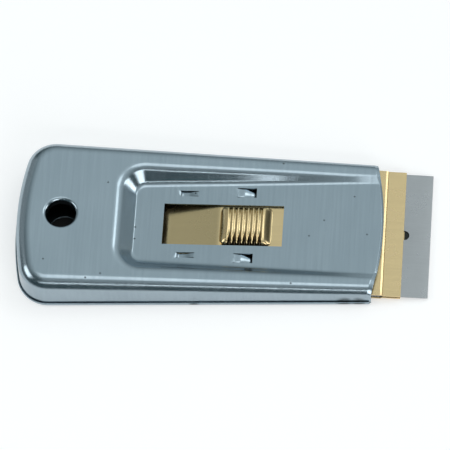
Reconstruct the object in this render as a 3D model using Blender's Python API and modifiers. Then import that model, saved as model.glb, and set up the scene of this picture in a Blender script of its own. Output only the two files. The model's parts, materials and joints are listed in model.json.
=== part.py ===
"""Razor scraper with a retractable blade.

Two pressed steel shells, held together by a crimped rim, guide a brass carriage.
The carriage is a bowed leaf with a ribbed thumb grip, which shows in a window of
the casing, and a lower leaf riveted under it. Their jaws grip a single-edge blade.

+X runs from the hanging hole to the blade and +Z is up. The casing lies on its
lower shell, and the origin is under the middle of the tool at its working reach.
"""

import math

import bmesh
import bpy
from mathutils import Vector

MM = 0.001

# Razor blade, a standard single-edge size
BLADE_LENGTH = 38.1 * MM
BLADE_DEPTH = 19.05 * MM
BLADE_SHEET = 0.23 * MM
BLADE_BEVEL = 0.9 * MM
BLADE_EDGE = 0.03 * MM
BLADE_HOLE_RADIUS = 1.45 * MM
BLADE_HOLE_SETBACK = 7.3 * MM
BACK_SHEET = 0.25 * MM
BACK_DEPTH = 5.9 * MM

# Sheets and clearances
STEEL = 0.5 * MM
BRASS = 0.5 * MM
SEAM_GAP = 0.2 * MM
RUNNING_GAP = 0.3 * MM
JAW_GAP = 0.15 * MM
JAW_MARGIN = 0.25 * MM

# Casing, lengths taken from its rear end and heights from what it lies on
CASING_LENGTH = 101.8 * MM
REAR_HEIGHT = 11.2 * MM
SIDE_TAPER = math.radians(1.74)
REAR_BOW = 80.0 * MM
REAR_CORNER = 9.0 * MM
FRONT_BOW = 85.0 * MM
REAR_ROLL = 2.6 * MM
FRONT_ROLL = 1.8 * MM
REAR_DRAFT = math.radians(8.0)
FRONT_DRAFT = math.radians(3.0)
LIP_LENGTH = 1.2 * MM
LIP_DROP = 0.45 * MM
RIM_HEIGHT = 1.6 * MM
RIM_BEND = 0.9 * MM
LOWER_SETBACK = 0.4 * MM
CRIMP_PLACES = (49.5 * MM, 91.3 * MM, 94.7 * MM)
CRIMP_LENGTH = 3.2 * MM
CRIMP_DEPTH = 0.3 * MM
CRIMP_FADE = 0.8 * MM
CRIMP_FOOT_SHARE = 0.5

# Hanging hole, drawn down into the upper shell and plain in the lower one
HOLE_X = 13.2 * MM
HOLE_RADIUS = 4.05 * MM
HOLE_LIP = 1.0 * MM
HOLE_DEPTH = 2.6 * MM

# Sunk panel, its window and the lanced tabs that guide the carriage
PANEL_HEIGHT = 5.3 * MM
RIM_PROUD = 0.6 * MM
PANEL_REAR = 33.1 * MM
PANEL_MARGIN = 1.5 * MM
PANEL_CORNER = 2.5 * MM
RECESS_REAR = 29.2 * MM
RECESS_REAR_RUN = 4.15 * MM
RECESS_FRONT_RUN = 1.35 * MM
RECESS_CORNER = 5.5 * MM
RECESS_ROLL = 0.6
RECESS_FILLET = 0.12
WINDOW_REAR = 41.1 * MM
WINDOW_LENGTH = 33.1 * MM
WINDOW_WIDTH = 12.6 * MM
TAB_KERF = 0.2 * MM
REAR_TAB_START = 45.3 * MM
REAR_TAB_LENGTH = 5.0 * MM
REAR_TAB_WIDTH = 1.7 * MM
REAR_TAB_DROP = 0.6 * MM
FRONT_TAB_START = 61.1 * MM
FRONT_TAB_LENGTH = 5.3 * MM
FRONT_TAB_WIDTH = 2.9 * MM
FRONT_TAB_DROP = 1.9 * MM

# Bend of each tab as shares of its length and drop; the rear tabs rejoin the panel, the front ones end free
REAR_TAB_BEND = ((0.0, 0.0), (0.14, 1.0), (0.6, 0.9), (0.85, 0.3), (1.0, 0.0))
FRONT_TAB_BEND = ((0.0, 0.0), (0.08, 0.12), (0.4, 0.14), (0.6, 0.28), (0.8, 0.58), (1.0, 1.0))

# Brass carriage, lengths taken from the middle of its grip
GRIP_X = 64.1 * MM
STEM_WIDTH = 16.9 * MM
TAIL_TIP = -30.0 * MM
TAIL_FOOT = -28.0 * MM
TAIL_LIFT = 0.6 * MM
REAR_BEND = -8.3 * MM
FRONT_BEND = 15.6 * MM
BLADE_SHOWING = 13.0 * MM
JOGGLE_RUN = 0.5 * MM
LOWER_LEAF_START = 3.5 * MM
RIVET_REACH = 8.0 * MM
RIVET_SPREAD = 25.0 * MM
RIVET_RADIUS = 1.1 * MM
RIVET_HEAD_RADIUS = 2.0 * MM
RIVET_HEAD = 0.3 * MM
RIVET_CROWN_RADIUS = 1.4 * MM

# Thumb grip, drawn up from the upper leaf
GRIP_LENGTH = 14.2 * MM
GRIP_RISE = 2.0 * MM
GRIP_CORNER = 1.6 * MM
RIB_COUNT = 8
RIB_PITCH = 1.52 * MM
RIB_DEPTH = 0.4 * MM
FIRST_RIB = 0.95 * MM
REAR_SLOPE = ((0.0, 0.0), (0.2 * MM, 0.25), (0.45 * MM, 0.7), (0.95 * MM, 1.0))
FRONT_SLOPE = ((0.0, 0.0), (0.3 * MM, 0.15), (0.7 * MM, 0.45), (1.4 * MM, 0.85), (2.4 * MM, 1.0))
SIDE_SLOPE = (
    (0.0, 0.0), (0.15 * MM, 0.24), (0.4 * MM, 0.5), (0.9 * MM, 0.73),
    (1.7 * MM, 0.89), (2.8 * MM, 0.97), (4.2 * MM, 1.0),
)

# Smoothness of the curved stretches
BOW_STEPS = 6
CORNER_STEPS = 8
ROLL_STEPS = 5
FILLET_STEPS = 3
HOLE_STEPS = 16
FLOOR_STEPS = 4
ROUND_SIDES = 24
RIB_SAMPLES = 4
SHARP_ANGLE = math.radians(35)
FLAT_ANGLE = math.radians(0.1)
WELD = 0.1e-6
CUT_HEIGHT = 3.0 * MM

# Sizes that follow from the ones above
HEAD_WIDTH = BLADE_LENGTH + 2 * JAW_MARGIN
FLAT_HEIGHT = PANEL_HEIGHT - STEEL - RUNNING_GAP
WALL_INSET = STEEL + SEAM_GAP
WALL_FOOT = STEEL + SEAM_GAP
DRAFT_ROOM = (FLAT_HEIGHT - WALL_FOOT) * math.tan(FRONT_DRAFT)
FRONT_WIDTH = HEAD_WIDTH + 2 * (RUNNING_GAP + DRAFT_ROOM + STEEL + WALL_INSET)
FRONT_HEIGHT = PANEL_HEIGHT + RIM_PROUD
WINDOW_FRONT = WINDOW_REAR + WINDOW_LENGTH
TAB_INNER = STEM_WIDTH / 2 + RUNNING_GAP
PANEL_REAR_WIDTH = 2 * (TAB_INNER + REAR_TAB_WIDTH + PANEL_MARGIN)
RECESS_WIDTH = PANEL_REAR_WIDTH + 2 * RECESS_REAR_RUN
PANEL_FRONT_WIDTH = RECESS_WIDTH - 2 * RECESS_FRONT_RUN
GRIP_WIDTH = WINDOW_WIDTH - 2 * RUNNING_GAP
REAR_TRAVEL = GRIP_X - GRIP_LENGTH / 2 - WINDOW_REAR - RUNNING_GAP
SHOULDER = FRONT_TAB_START + FRONT_TAB_LENGTH + REAR_TRAVEL + RUNNING_GAP - GRIP_X
JAW_REACH = CASING_LENGTH + BLADE_SHOWING - GRIP_X - FRONT_BEND
JOGGLE = BACK_SHEET + JAW_GAP
BLADE_TOP = -BRASS - JAW_GAP - BACK_SHEET - JAW_GAP
LOWER_LIP_TOP = BLADE_TOP - BLADE_SHEET - JAW_GAP
POCKET_BOTTOM = LOWER_LIP_TOP - JOGGLE - BRASS
RIDGE = JAW_REACH - BLADE_DEPTH + BACK_DEPTH + JAW_GAP
LIP_EDGE = JAW_REACH - BLADE_HOLE_SETBACK - JAW_GAP
POCKET_REAR = JAW_REACH - BLADE_DEPTH - RUNNING_GAP
PITCH = math.asin((FLAT_HEIGHT + POCKET_BOTTOM - STEEL - JAW_GAP) / RIDGE)
TOOL_LENGTH = GRIP_X + FRONT_BEND + JAW_REACH * math.cos(PITCH) + BLADE_TOP * math.sin(PITCH)


def lerp(start, end, share):
    return start + (end - start) * share


def ramp(table, value):
    """Value read off a line through a short table of (distance, height)."""
    for (near, low), (far, high) in zip(table, table[1:]):
        if value <= far:
            return lerp(low, high, max(0.0, value - near) / (far - near))
    return table[-1][1]


def clear_scene():
    for obj in list(bpy.data.objects):
        bpy.data.objects.remove(obj, do_unlink=True)


def add_collection(name):
    collection = bpy.data.collections.new(name)
    bpy.context.scene.collection.children.link(collection)
    return collection


def add_material(name, colour, roughness):
    material = bpy.data.materials.new(name)
    material.use_nodes = True
    shader = material.node_tree.nodes["Principled BSDF"]
    shader.inputs["Base Color"].default_value = (*colour, 1.0)
    shader.inputs["Roughness"].default_value = roughness
    shader.inputs["Metallic"].default_value = 1.0
    return material


def add_empty(name, collection, parent=None, location=(0, 0, 0), rotation=(0, 0, 0)):
    empty = bpy.data.objects.new(name, None)
    empty.location = location
    empty.rotation_euler = rotation
    empty.parent = parent
    collection.objects.link(empty)
    return empty


def add_object(name, bm, collection, parent):
    mesh = bpy.data.meshes.new(name)
    bm.to_mesh(mesh)
    bm.free()
    obj = bpy.data.objects.new(name, mesh)
    obj.parent = parent
    collection.objects.link(obj)
    return obj


def finish_piece(obj, material):
    obj.data.materials.clear()
    obj.data.materials.append(material)
    obj.data.shade_smooth()
    obj.data.set_sharp_from_angle(angle=SHARP_ANGLE)


def cut(obj, cutter):
    modifier = obj.modifiers.new("cut_" + cutter.name, "BOOLEAN")
    modifier.operation = "DIFFERENCE"
    modifier.object = cutter


def add_round_cutter(name, radius, height, collection, parent, location):
    bm = bmesh.new()
    bmesh.ops.create_cone(
        bm, cap_ends=True, segments=ROUND_SIDES, radius1=radius, radius2=radius, depth=height
    )
    cutter = add_object(name, bm, collection, parent)
    cutter.location = location
    cutter.hide_render = True
    cutter.display_type = "WIRE"
    return cutter


# Outline of the casing

def half_width(x):
    return FRONT_WIDTH / 2 + (CASING_LENGTH - x) * math.tan(SIDE_TAPER)


def top_height(x):
    return lerp(REAR_HEIGHT, FRONT_HEIGHT, x / CASING_LENGTH)


def front_edge(y):
    return CASING_LENGTH - FRONT_BOW + math.sqrt(FRONT_BOW**2 - y**2)


def crimp(x):
    """How far the rim is pressed in at this place along the side."""
    for place in CRIMP_PLACES:
        offset = abs(x - place) / (CRIMP_LENGTH / 2)
        if offset < 1:
            return CRIMP_DEPTH * math.cos(offset * math.pi / 2) ** 2
    return 0.0


def corner_centre():
    """Centre of the arc that joins the tapered side to the bowed rear end."""
    reach = REAR_BOW - REAR_CORNER
    slope = math.tan(SIDE_TAPER)
    level = half_width(0) - REAR_CORNER / math.cos(SIDE_TAPER)
    a = 1 + slope**2
    b = REAR_BOW + level * slope
    c = REAR_BOW**2 + level**2 - reach**2
    x = (b - math.sqrt(b**2 - a * c)) / a
    return Vector((x, level - slope * x))


def arc_station(centre, radius, angle):
    outward = Vector((-math.cos(angle), math.sin(angle)))
    return lambda inset: centre + outward * (radius - inset)


def side_station(x):
    return lambda inset: Vector((x, half_width(x) - inset / math.cos(SIDE_TAPER)))


def front_station(setback):
    def place(inset):
        x = CASING_LENGTH
        for _ in range(4):
            y = half_width(x) - inset / math.cos(SIDE_TAPER)
            x = front_edge(y) - setback
        return Vector((x, y))
    return place


def rear_stations():
    """Half outline from the middle of the rear end to the side, each a place for any inset."""
    bow = Vector((REAR_BOW, 0.0))
    corner = corner_centre()
    turn = math.atan2(corner.y, REAR_BOW - corner.x)
    last = math.pi / 2 + SIDE_TAPER
    stations = [arc_station(bow, REAR_BOW, turn * i / BOW_STEPS) for i in range(BOW_STEPS)]
    for i in range(CORNER_STEPS + 1):
        stations.append(arc_station(corner, REAR_CORNER, lerp(turn, last, i / CORNER_STEPS)))
    return stations


def side_stations():
    places = []
    for place in CRIMP_PLACES:
        places += [place + CRIMP_LENGTH / 2 * share for share in (-1, -0.5, 0, 0.5, 1)]
    return [side_station(x) for x in places]


def lip_stations():
    """Setback from the front edge and drop of each row of the turned-down lip."""
    return [(LIP_LENGTH, 0.0), (LIP_LENGTH / 2, LIP_DROP / 4), (0.0, LIP_DROP)]


# Shell surfaces, built as one half that is open along the middle plane

def add_strip(bm, columns):
    """Quads between neighbouring columns of points."""
    rows = [[bm.verts.new(point) for point in column] for column in columns]
    for left, right in zip(rows, rows[1:]):
        for i in range(len(left) - 1):
            bm.faces.new((left[i], right[i], right[i + 1], left[i + 1]))


def add_loop(bm, points):
    verts = [bm.verts.new(point) for point in points]
    return [bm.edges.new((verts[i - 1], verts[i])) for i in range(len(verts))]


def fill_flat(bm, loops):
    """Fills the flat region between an outer loop and the holes inside it."""
    edges = [edge for points in loops for edge in add_loop(bm, points)]
    bmesh.ops.triangle_fill(bm, use_beauty=True, edges=edges)


def close_skin(bm, outward):
    """Joins the patches of a skin and turns its flat face the way given by outward."""
    bmesh.ops.remove_doubles(bm, verts=bm.verts, dist=WELD)
    bmesh.ops.recalc_face_normals(bm, faces=bm.faces)
    bm.normal_update()
    largest = max(bm.faces, key=lambda face: face.calc_area())
    if largest.normal.z * outward < 0:
        bmesh.ops.reverse_faces(bm, faces=bm.faces)


def add_shell(name, bm, collection, parent):
    """Mirrors a half skin about the middle plane and gives it the thickness of the sheet."""
    shell = add_object(name, bm, collection, parent)
    mirror = shell.modifiers.new("halves", "MIRROR")
    mirror.use_axis = (False, True, False)
    mirror.merge_threshold = 0.000001
    sheet = shell.modifiers.new("sheet", "SOLIDIFY")
    sheet.thickness = STEEL
    sheet.offset = -1
    sheet.use_even_offset = True
    return shell


def wall_column(place, drop):
    """Points up the wall of the upper shell and over its rolled edge."""
    x = place(0).x
    share = x / CASING_LENGTH
    draft = lerp(REAR_DRAFT, FRONT_DRAFT, share)
    roll = lerp(REAR_ROLL, FRONT_ROLL, share)
    column = []
    for height, hold in ((WALL_FOOT, CRIMP_FOOT_SHARE), (RIM_HEIGHT, 1.0), (RIM_HEIGHT + CRIMP_FADE, 0.0)):
        inset = WALL_INSET + (height - WALL_FOOT) * math.tan(draft) + hold * crimp(x)
        column.append((*place(inset), height))
    wall_top = top_height(x) - roll * (1 - math.sin(draft))
    wall_inset = WALL_INSET + (wall_top - WALL_FOOT) * math.tan(draft)
    for i in range(ROLL_STEPS + 1):
        turn = lerp(draft, math.pi / 2, i / ROLL_STEPS)
        point = place(wall_inset + roll * (math.cos(draft) - math.cos(turn)))
        height = top_height(point.x) - roll * (1 - math.sin(turn)) - drop * math.sin(turn)
        column.append((*point, height))
    return column


def rounded_corner(rear, half, radius, angle):
    return Vector((rear + radius * (1 - math.cos(angle)), half - radius * (1 - math.sin(angle))))


def panel_half(x):
    share = (x - PANEL_REAR) / (CASING_LENGTH - PANEL_REAR)
    return lerp(PANEL_REAR_WIDTH, PANEL_FRONT_WIDTH, share) / 2


def recess_sink(share):
    """Depth share down the recess wall: a roll from the rim, a straight stretch and a tight fillet."""
    steepest = 2 / (2 - RECESS_ROLL - RECESS_FILLET)
    if share < RECESS_ROLL:
        return steepest * share**2 / (2 * RECESS_ROLL)
    if share > 1 - RECESS_FILLET:
        return 1 - steepest * (1 - share) ** 2 / (2 * RECESS_FILLET)
    return steepest * (share - RECESS_ROLL / 2)


def recess_column(opening, floor, drop):
    """Points down the wall of the recess, from its rim to the panel."""
    shares = [RECESS_ROLL * i / ROLL_STEPS for i in range(ROLL_STEPS + 1)]
    shares += [1 - RECESS_FILLET * i / FILLET_STEPS for i in range(FILLET_STEPS, -1, -1)]
    column = []
    for share in shares:
        height = lerp(top_height(opening.x), PANEL_HEIGHT, recess_sink(share)) - drop
        column.append((*opening.lerp(floor, share), height))
    return column


def recess_columns():
    """Columns of the recess wall from the middle of its rear end to the front edge."""
    columns = [recess_column(Vector((RECESS_REAR, 0.0)), Vector((PANEL_REAR, 0.0)), 0.0)]
    for i in range(CORNER_STEPS + 1):
        angle = math.pi / 2 * i / CORNER_STEPS
        opening = rounded_corner(RECESS_REAR, RECESS_WIDTH / 2, RECESS_CORNER, angle)
        half = panel_half(PANEL_REAR + PANEL_CORNER)
        floor = rounded_corner(PANEL_REAR, half, PANEL_CORNER, angle)
        columns.append(recess_column(opening, floor, 0.0))
    for setback, drop in lip_stations():
        opening_y = RECESS_WIDTH / 2
        floor_y = panel_half(CASING_LENGTH)
        opening = Vector((front_edge(opening_y) - setback, opening_y))
        floor = Vector((front_edge(floor_y) - setback, floor_y))
        columns.append(recess_column(opening, floor, drop))
    return columns


def hole_columns():
    """Columns down the drawn lip of the hanging hole, from its front to its rear."""
    rings = []
    for i in range(ROLL_STEPS + 1):
        turn = math.pi / 2 * i / ROLL_STEPS
        rings.append((HOLE_RADIUS + HOLE_LIP * (1 - math.sin(turn)), HOLE_LIP * (1 - math.cos(turn))))
    rings.append((HOLE_RADIUS, HOLE_DEPTH))
    columns = []
    for i in range(HOLE_STEPS + 1):
        angle = math.pi * i / HOLE_STEPS
        column = []
        for radius, depth in rings:
            x = HOLE_X + radius * math.cos(angle)
            column.append((x, radius * math.sin(angle), top_height(x) - depth))
        columns.append(column)
    columns[0] = [(x, 0.0, z) for x, y, z in columns[0]]
    columns[-1] = [(x, 0.0, z) for x, y, z in columns[-1]]
    return columns


def floor_row(setback, drop):
    """Points across the front of the panel, from its side to the middle plane."""
    row = []
    for i in range(FLOOR_STEPS + 1):
        y = panel_half(CASING_LENGTH) * (1 - i / FLOOR_STEPS)
        row.append((front_edge(y) - setback, y, PANEL_HEIGHT - drop))
    return row


def add_tab(bm, start, length, width, drop, bend):
    """Strip cut free along both sides and bent down; returns the hole that it leaves in the panel."""
    ys = (TAB_INNER, TAB_INNER + TAB_KERF, TAB_INNER + width - TAB_KERF, TAB_INNER + width)
    rejoins = bend[-1][1] == 0
    reach = length if rejoins else length - TAB_KERF
    strip = []
    for share, sink in bend:
        strip.append([(start + reach * share, y, PANEL_HEIGHT - drop * sink) for y in ys[1:3]])
    add_strip(bm, strip)
    front = ys[::-1] if rejoins else (ys[3], ys[0])
    hole = [(start, y, PANEL_HEIGHT) for y in ys]
    hole += [(start + length, y, PANEL_HEIGHT) for y in front]
    return hole


def make_upper_shell(collection, parent, material):
    bm = bmesh.new()
    body = [(station, 0.0) for station in rear_stations() + side_stations()]
    lip = [(front_station(setback), drop) for setback, drop in lip_stations()]
    walls = [wall_column(place, drop) for place, drop in body + lip]
    recess = recess_columns()
    hole = hole_columns()
    lip_rows = len(lip)
    add_strip(bm, walls)
    add_strip(bm, recess)
    add_strip(bm, hole)

    crown = [column[-1] for column in walls]
    opening = [column[0] for column in recess]
    add_strip(bm, [list(pair) for pair in zip(crown[-lip_rows:], opening[-lip_rows:])])
    land = crown[: len(body) + 1] + opening[: 1 - lip_rows][::-1] + [column[0] for column in hole]
    land = [point for i, point in enumerate(land) if point != land[i - 1]]
    fill_flat(bm, [land])

    rows = [floor_row(setback, drop) for setback, drop in lip_stations()]
    add_strip(bm, rows)
    floor = [column[-1] for column in recess][: 1 - lip_rows] + rows[0][1:]
    half = WINDOW_WIDTH / 2
    window = ((WINDOW_FRONT, 0.0), (WINDOW_FRONT, half), (WINDOW_REAR, half), (WINDOW_REAR, 0.0))
    floor += [(x, y, PANEL_HEIGHT) for x, y in window]
    rear_tab = (REAR_TAB_START, REAR_TAB_LENGTH, REAR_TAB_WIDTH, REAR_TAB_DROP, REAR_TAB_BEND)
    front_tab = (FRONT_TAB_START, FRONT_TAB_LENGTH, FRONT_TAB_WIDTH, FRONT_TAB_DROP, FRONT_TAB_BEND)
    fill_flat(bm, [floor, add_tab(bm, *rear_tab), add_tab(bm, *front_tab)])

    close_skin(bm, 1)
    finish_piece(add_shell("upper_shell", bm, collection, parent), material)


def rim_column(place):
    """Points round the bend of the lower shell and up its rim."""
    x = place(0).x
    column = []
    for i in range(ROLL_STEPS + 1):
        turn = math.pi / 2 * i / ROLL_STEPS
        inset = RIM_BEND * (1 - math.sin(turn)) + crimp(x) * i / ROLL_STEPS / 2
        column.append((*place(inset), RIM_BEND * (1 - math.cos(turn))))
    column.append((*place(crimp(x)), RIM_HEIGHT))
    return column


def make_lower_shell(collection, parent, material):
    bm = bmesh.new()
    stations = rear_stations() + side_stations() + [front_station(LOWER_SETBACK)]
    rim = [rim_column(place) for place in stations]
    add_strip(bm, rim)
    plate = [column[0] for column in rim]
    end = plate[-1]
    for i in range(1, FLOOR_STEPS + 1):
        y = end[1] * (1 - i / FLOOR_STEPS)
        plate.append((front_edge(y) - LOWER_SETBACK, y, 0.0))
    for i in range(HOLE_STEPS + 1):
        angle = math.pi * i / HOLE_STEPS
        y = HOLE_RADIUS * math.sin(angle) if 0 < i < HOLE_STEPS else 0.0
        plate.append((HOLE_X + HOLE_RADIUS * math.cos(angle), y, 0.0))
    fill_flat(bm, [plate])
    close_skin(bm, -1)
    finish_piece(add_shell("lower_shell", bm, collection, parent), material)


# Carriage leaves, built as sheets between a top and a bottom height

def add_sheet(bm, columns):
    """Closed sheet over columns of (x, y, top, bottom), each column as long as it needs to be."""
    tops = [[bm.verts.new((x, y, top)) for x, y, top, bottom in column] for column in columns]
    under = {}
    for column, verts in zip(columns, tops):
        for (x, y, top, bottom), vert in zip(column, verts):
            under[vert] = bm.verts.new((x, y, bottom))
    for left, right in zip(tops, tops[1:]):
        skip = (len(right) - len(left)) // 2
        near = left[max(0, -skip):len(left) - max(0, -skip)]
        far = right[max(0, skip):len(right) - max(0, skip)]
        for i in range(len(near) - 1):
            corners = (near[i], far[i], far[i + 1], near[i + 1])
            bm.faces.new(corners)
            bm.faces.new([under[vert] for vert in reversed(corners)])
    for edge in [edge for edge in bm.edges if edge.is_boundary and edge.verts[0] in under]:
        a, b = edge.verts
        bm.faces.new((a, b, under[b], under[a]))
    bmesh.ops.recalc_face_normals(bm, faces=bm.faces)


def leaf_profile():
    """Top of the plain upper leaf along the carriage: foot, bowed tail, flat, jaw and lip."""
    foot = STEEL + JAW_GAP + BRASS
    ridge = RIDGE * math.cos(PITCH)
    step = (RIDGE + JOGGLE_RUN) * math.cos(PITCH)
    edge = LIP_EDGE * math.cos(PITCH)
    fall = math.tan(PITCH)
    return (
        (TAIL_TIP, foot + TAIL_LIFT),
        (TAIL_FOOT, foot),
        (REAR_BEND, FLAT_HEIGHT),
        (FRONT_BEND, FLAT_HEIGHT),
        (FRONT_BEND + ridge, FLAT_HEIGHT - ridge * fall),
        (FRONT_BEND + step, FLAT_HEIGHT - step * fall - JOGGLE),
        (FRONT_BEND + edge, FLAT_HEIGHT - edge * fall - JOGGLE),
    )


def grip_end(x, margin):
    """Height share of the grip along the carriage, drawn in by margin for its hollow underside."""
    behind = x + GRIP_LENGTH / 2 - margin
    ahead = GRIP_LENGTH / 2 - margin - x
    return min(ramp(REAR_SLOPE, behind), ramp(FRONT_SLOPE, ahead))


def grip_rib(x):
    """Depth share of the grooves between the ribs, nought on the crest of a rib."""
    along = x + GRIP_LENGTH / 2 - FIRST_RIB
    if not 0 < along < RIB_PITCH * (RIB_COUNT - 1):
        return 0.0
    return 0.5 - 0.5 * math.cos(2 * math.pi * along / RIB_PITCH)


def grip_half(x):
    """Half width of the grip's foot, with rounded corners."""
    inside = GRIP_LENGTH / 2 - abs(x)
    straight = GRIP_WIDTH / 2 - GRIP_CORNER
    if inside <= 0:
        return straight
    bend = min(inside, GRIP_CORNER)
    return straight + math.sqrt(GRIP_CORNER**2 - (GRIP_CORNER - bend) ** 2)


def grip_places():
    rear = -GRIP_LENGTH / 2
    places = {rear + step for step, share in REAR_SLOPE}
    places |= {-rear - step for step, share in FRONT_SLOPE}
    for i in range((RIB_COUNT - 1) * RIB_SAMPLES + 1):
        places.add(rear + FIRST_RIB + RIB_PITCH * i / RIB_SAMPLES)
    return places


def leaf_column(x):
    half = grip_half(x)
    top = ramp(leaf_profile(), x)
    ys = [half - inside for inside, share in SIDE_SLOPE]
    column = []
    for y in [-value for value in ys] + [0.0] + ys[::-1]:
        inside = half - abs(y)
        outer = grip_end(x, 0.0) * ramp(SIDE_SLOPE, inside)
        inner = grip_end(x, BRASS) * ramp(SIDE_SLOPE, inside - BRASS)
        rise = outer * (GRIP_RISE - RIB_DEPTH * grip_rib(x))
        hollow = inner * (GRIP_RISE - RIB_DEPTH)
        column.append((x, y, top + rise, top - BRASS + hollow))
    return column


def widened(column, half):
    """The column with a plain point added at each side."""
    x, y, top, bottom = column[0]
    return [(x, -half, top, bottom)] + column + [(x, half, top, bottom)]


def make_upper_leaf(collection, parent, material, cutters):
    places = {place for place, height in leaf_profile()} | grip_places()
    stem = sorted(x for x in places if x < SHOULDER)
    head = sorted(x for x in places if x > SHOULDER)
    columns = [widened(leaf_column(x), STEM_WIDTH / 2) for x in stem + [SHOULDER]]
    columns += [widened(widened(leaf_column(x), STEM_WIDTH / 2), HEAD_WIDTH / 2) for x in [SHOULDER] + head]
    bm = bmesh.new()
    add_sheet(bm, columns)
    bmesh.ops.remove_doubles(bm, verts=bm.verts, dist=WELD)
    bmesh.ops.dissolve_limit(bm, angle_limit=FLAT_ANGLE, verts=bm.verts, edges=bm.edges)
    leaf = add_object("carriage_upper_leaf", bm, collection, parent)
    for cutter in cutters:
        cut(leaf, cutter)
    finish_piece(leaf, material)


# Pieces that lie along the pitched jaw: the length runs from the front bend, heights from the leaf's top

def add_extrusion(name, outline, half, collection, parent, material):
    """Side profile in the jaw's length and height, carried across its width."""
    curve = bpy.data.curves.new(name, "CURVE")
    curve.dimensions = "2D"
    curve.fill_mode = "BOTH"
    curve.extrude = half
    spline = curve.splines.new("POLY")
    spline.points.add(len(outline) - 1)
    for point, (along, height) in zip(spline.points, outline):
        point.co = (along, height, 0.0, 1.0)
    spline.use_cyclic_u = True
    guide = bpy.data.objects.new(name, curve)
    collection.objects.link(guide)
    bpy.context.view_layer.update()
    mesh = bpy.data.meshes.new_from_object(guide.evaluated_get(bpy.context.evaluated_depsgraph_get()))
    bpy.data.objects.remove(guide)
    bm = bmesh.new()
    bm.from_mesh(mesh)
    bmesh.ops.remove_doubles(bm, verts=bm.verts, dist=WELD)
    piece = add_object(name, bm, collection, parent)
    piece.rotation_euler = (math.pi / 2, 0.0, 0.0)
    finish_piece(piece, material)
    return piece


def strip_outline(top, thickness):
    """Closed profile of a bent strip from the points along its top."""
    return list(top) + [(along, height - thickness) for along, height in reversed(top)]


def make_lower_leaf(collection, parent, material, cutters):
    under = -BRASS - JAW_GAP
    pocket = LOWER_LIP_TOP - JOGGLE
    top = (
        (LOWER_LEAF_START, under),
        (POCKET_REAR - (under - pocket), under),
        (POCKET_REAR, pocket),
        (RIDGE, pocket),
        (RIDGE + JOGGLE_RUN, LOWER_LIP_TOP),
        (LIP_EDGE, LOWER_LIP_TOP),
    )
    outline = strip_outline(top, BRASS)
    leaf = add_extrusion("carriage_lower_leaf", outline, HEAD_WIDTH / 2, collection, parent, material)
    for cutter in cutters:
        cut(leaf, cutter)


def make_blade(collection, parent, material, cutter):
    rear = JAW_REACH - BLADE_DEPTH + BACK_SHEET + JAW_GAP
    middle = BLADE_TOP - BLADE_SHEET / 2
    outline = (
        (rear, BLADE_TOP),
        (JAW_REACH - BLADE_BEVEL, BLADE_TOP),
        (JAW_REACH, middle + BLADE_EDGE / 2),
        (JAW_REACH, middle - BLADE_EDGE / 2),
        (JAW_REACH - BLADE_BEVEL, BLADE_TOP - BLADE_SHEET),
        (rear, BLADE_TOP - BLADE_SHEET),
    )
    blade = add_extrusion("razor_blade", outline, BLADE_LENGTH / 2, collection, parent, material)
    cut(blade, cutter)


def make_blade_back(collection, parent, material):
    rear = JAW_REACH - BLADE_DEPTH
    front = rear + BACK_DEPTH
    inner_top = BLADE_TOP + JAW_GAP
    inner_bottom = BLADE_TOP - BLADE_SHEET - JAW_GAP
    outline = (
        (front, inner_top + BACK_SHEET),
        (rear, inner_top + BACK_SHEET),
        (rear, inner_bottom - BACK_SHEET),
        (front, inner_bottom - BACK_SHEET),
        (front, inner_bottom),
        (rear + BACK_SHEET, inner_bottom),
        (rear + BACK_SHEET, inner_top),
        (front, inner_top),
    )
    add_extrusion("blade_back", outline, BLADE_LENGTH / 2, collection, parent, material)


def make_rivet(name, y, collection, parent, material):
    """Turned rivet through both leaves, with a low head on each side."""
    upper = JAW_GAP
    lower = -2 * BRASS - 2 * JAW_GAP
    profile = (
        (0.0, upper + RIVET_HEAD),
        (RIVET_CROWN_RADIUS, upper + RIVET_HEAD),
        (RIVET_HEAD_RADIUS, upper + RIVET_HEAD / 2),
        (RIVET_HEAD_RADIUS, upper),
        (RIVET_RADIUS, upper),
        (RIVET_RADIUS, lower),
        (RIVET_HEAD_RADIUS, lower),
        (RIVET_HEAD_RADIUS, lower - RIVET_HEAD / 2),
        (RIVET_CROWN_RADIUS, lower - RIVET_HEAD),
        (0.0, lower - RIVET_HEAD),
    )
    bm = bmesh.new()
    verts = [bm.verts.new((radius, 0.0, height)) for radius, height in profile]
    for above, below in zip(verts, verts[1:]):
        bm.edges.new((above, below))
    rivet = add_object(name, bm, collection, parent)
    rivet.location = (RIVET_REACH, y, 0.0)
    screw = rivet.modifiers.new("turn", "SCREW")
    screw.steps = ROUND_SIDES
    screw.render_steps = ROUND_SIDES
    screw.use_merge_vertices = True
    screw.merge_threshold = 0.00001
    finish_piece(rivet, material)


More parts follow.
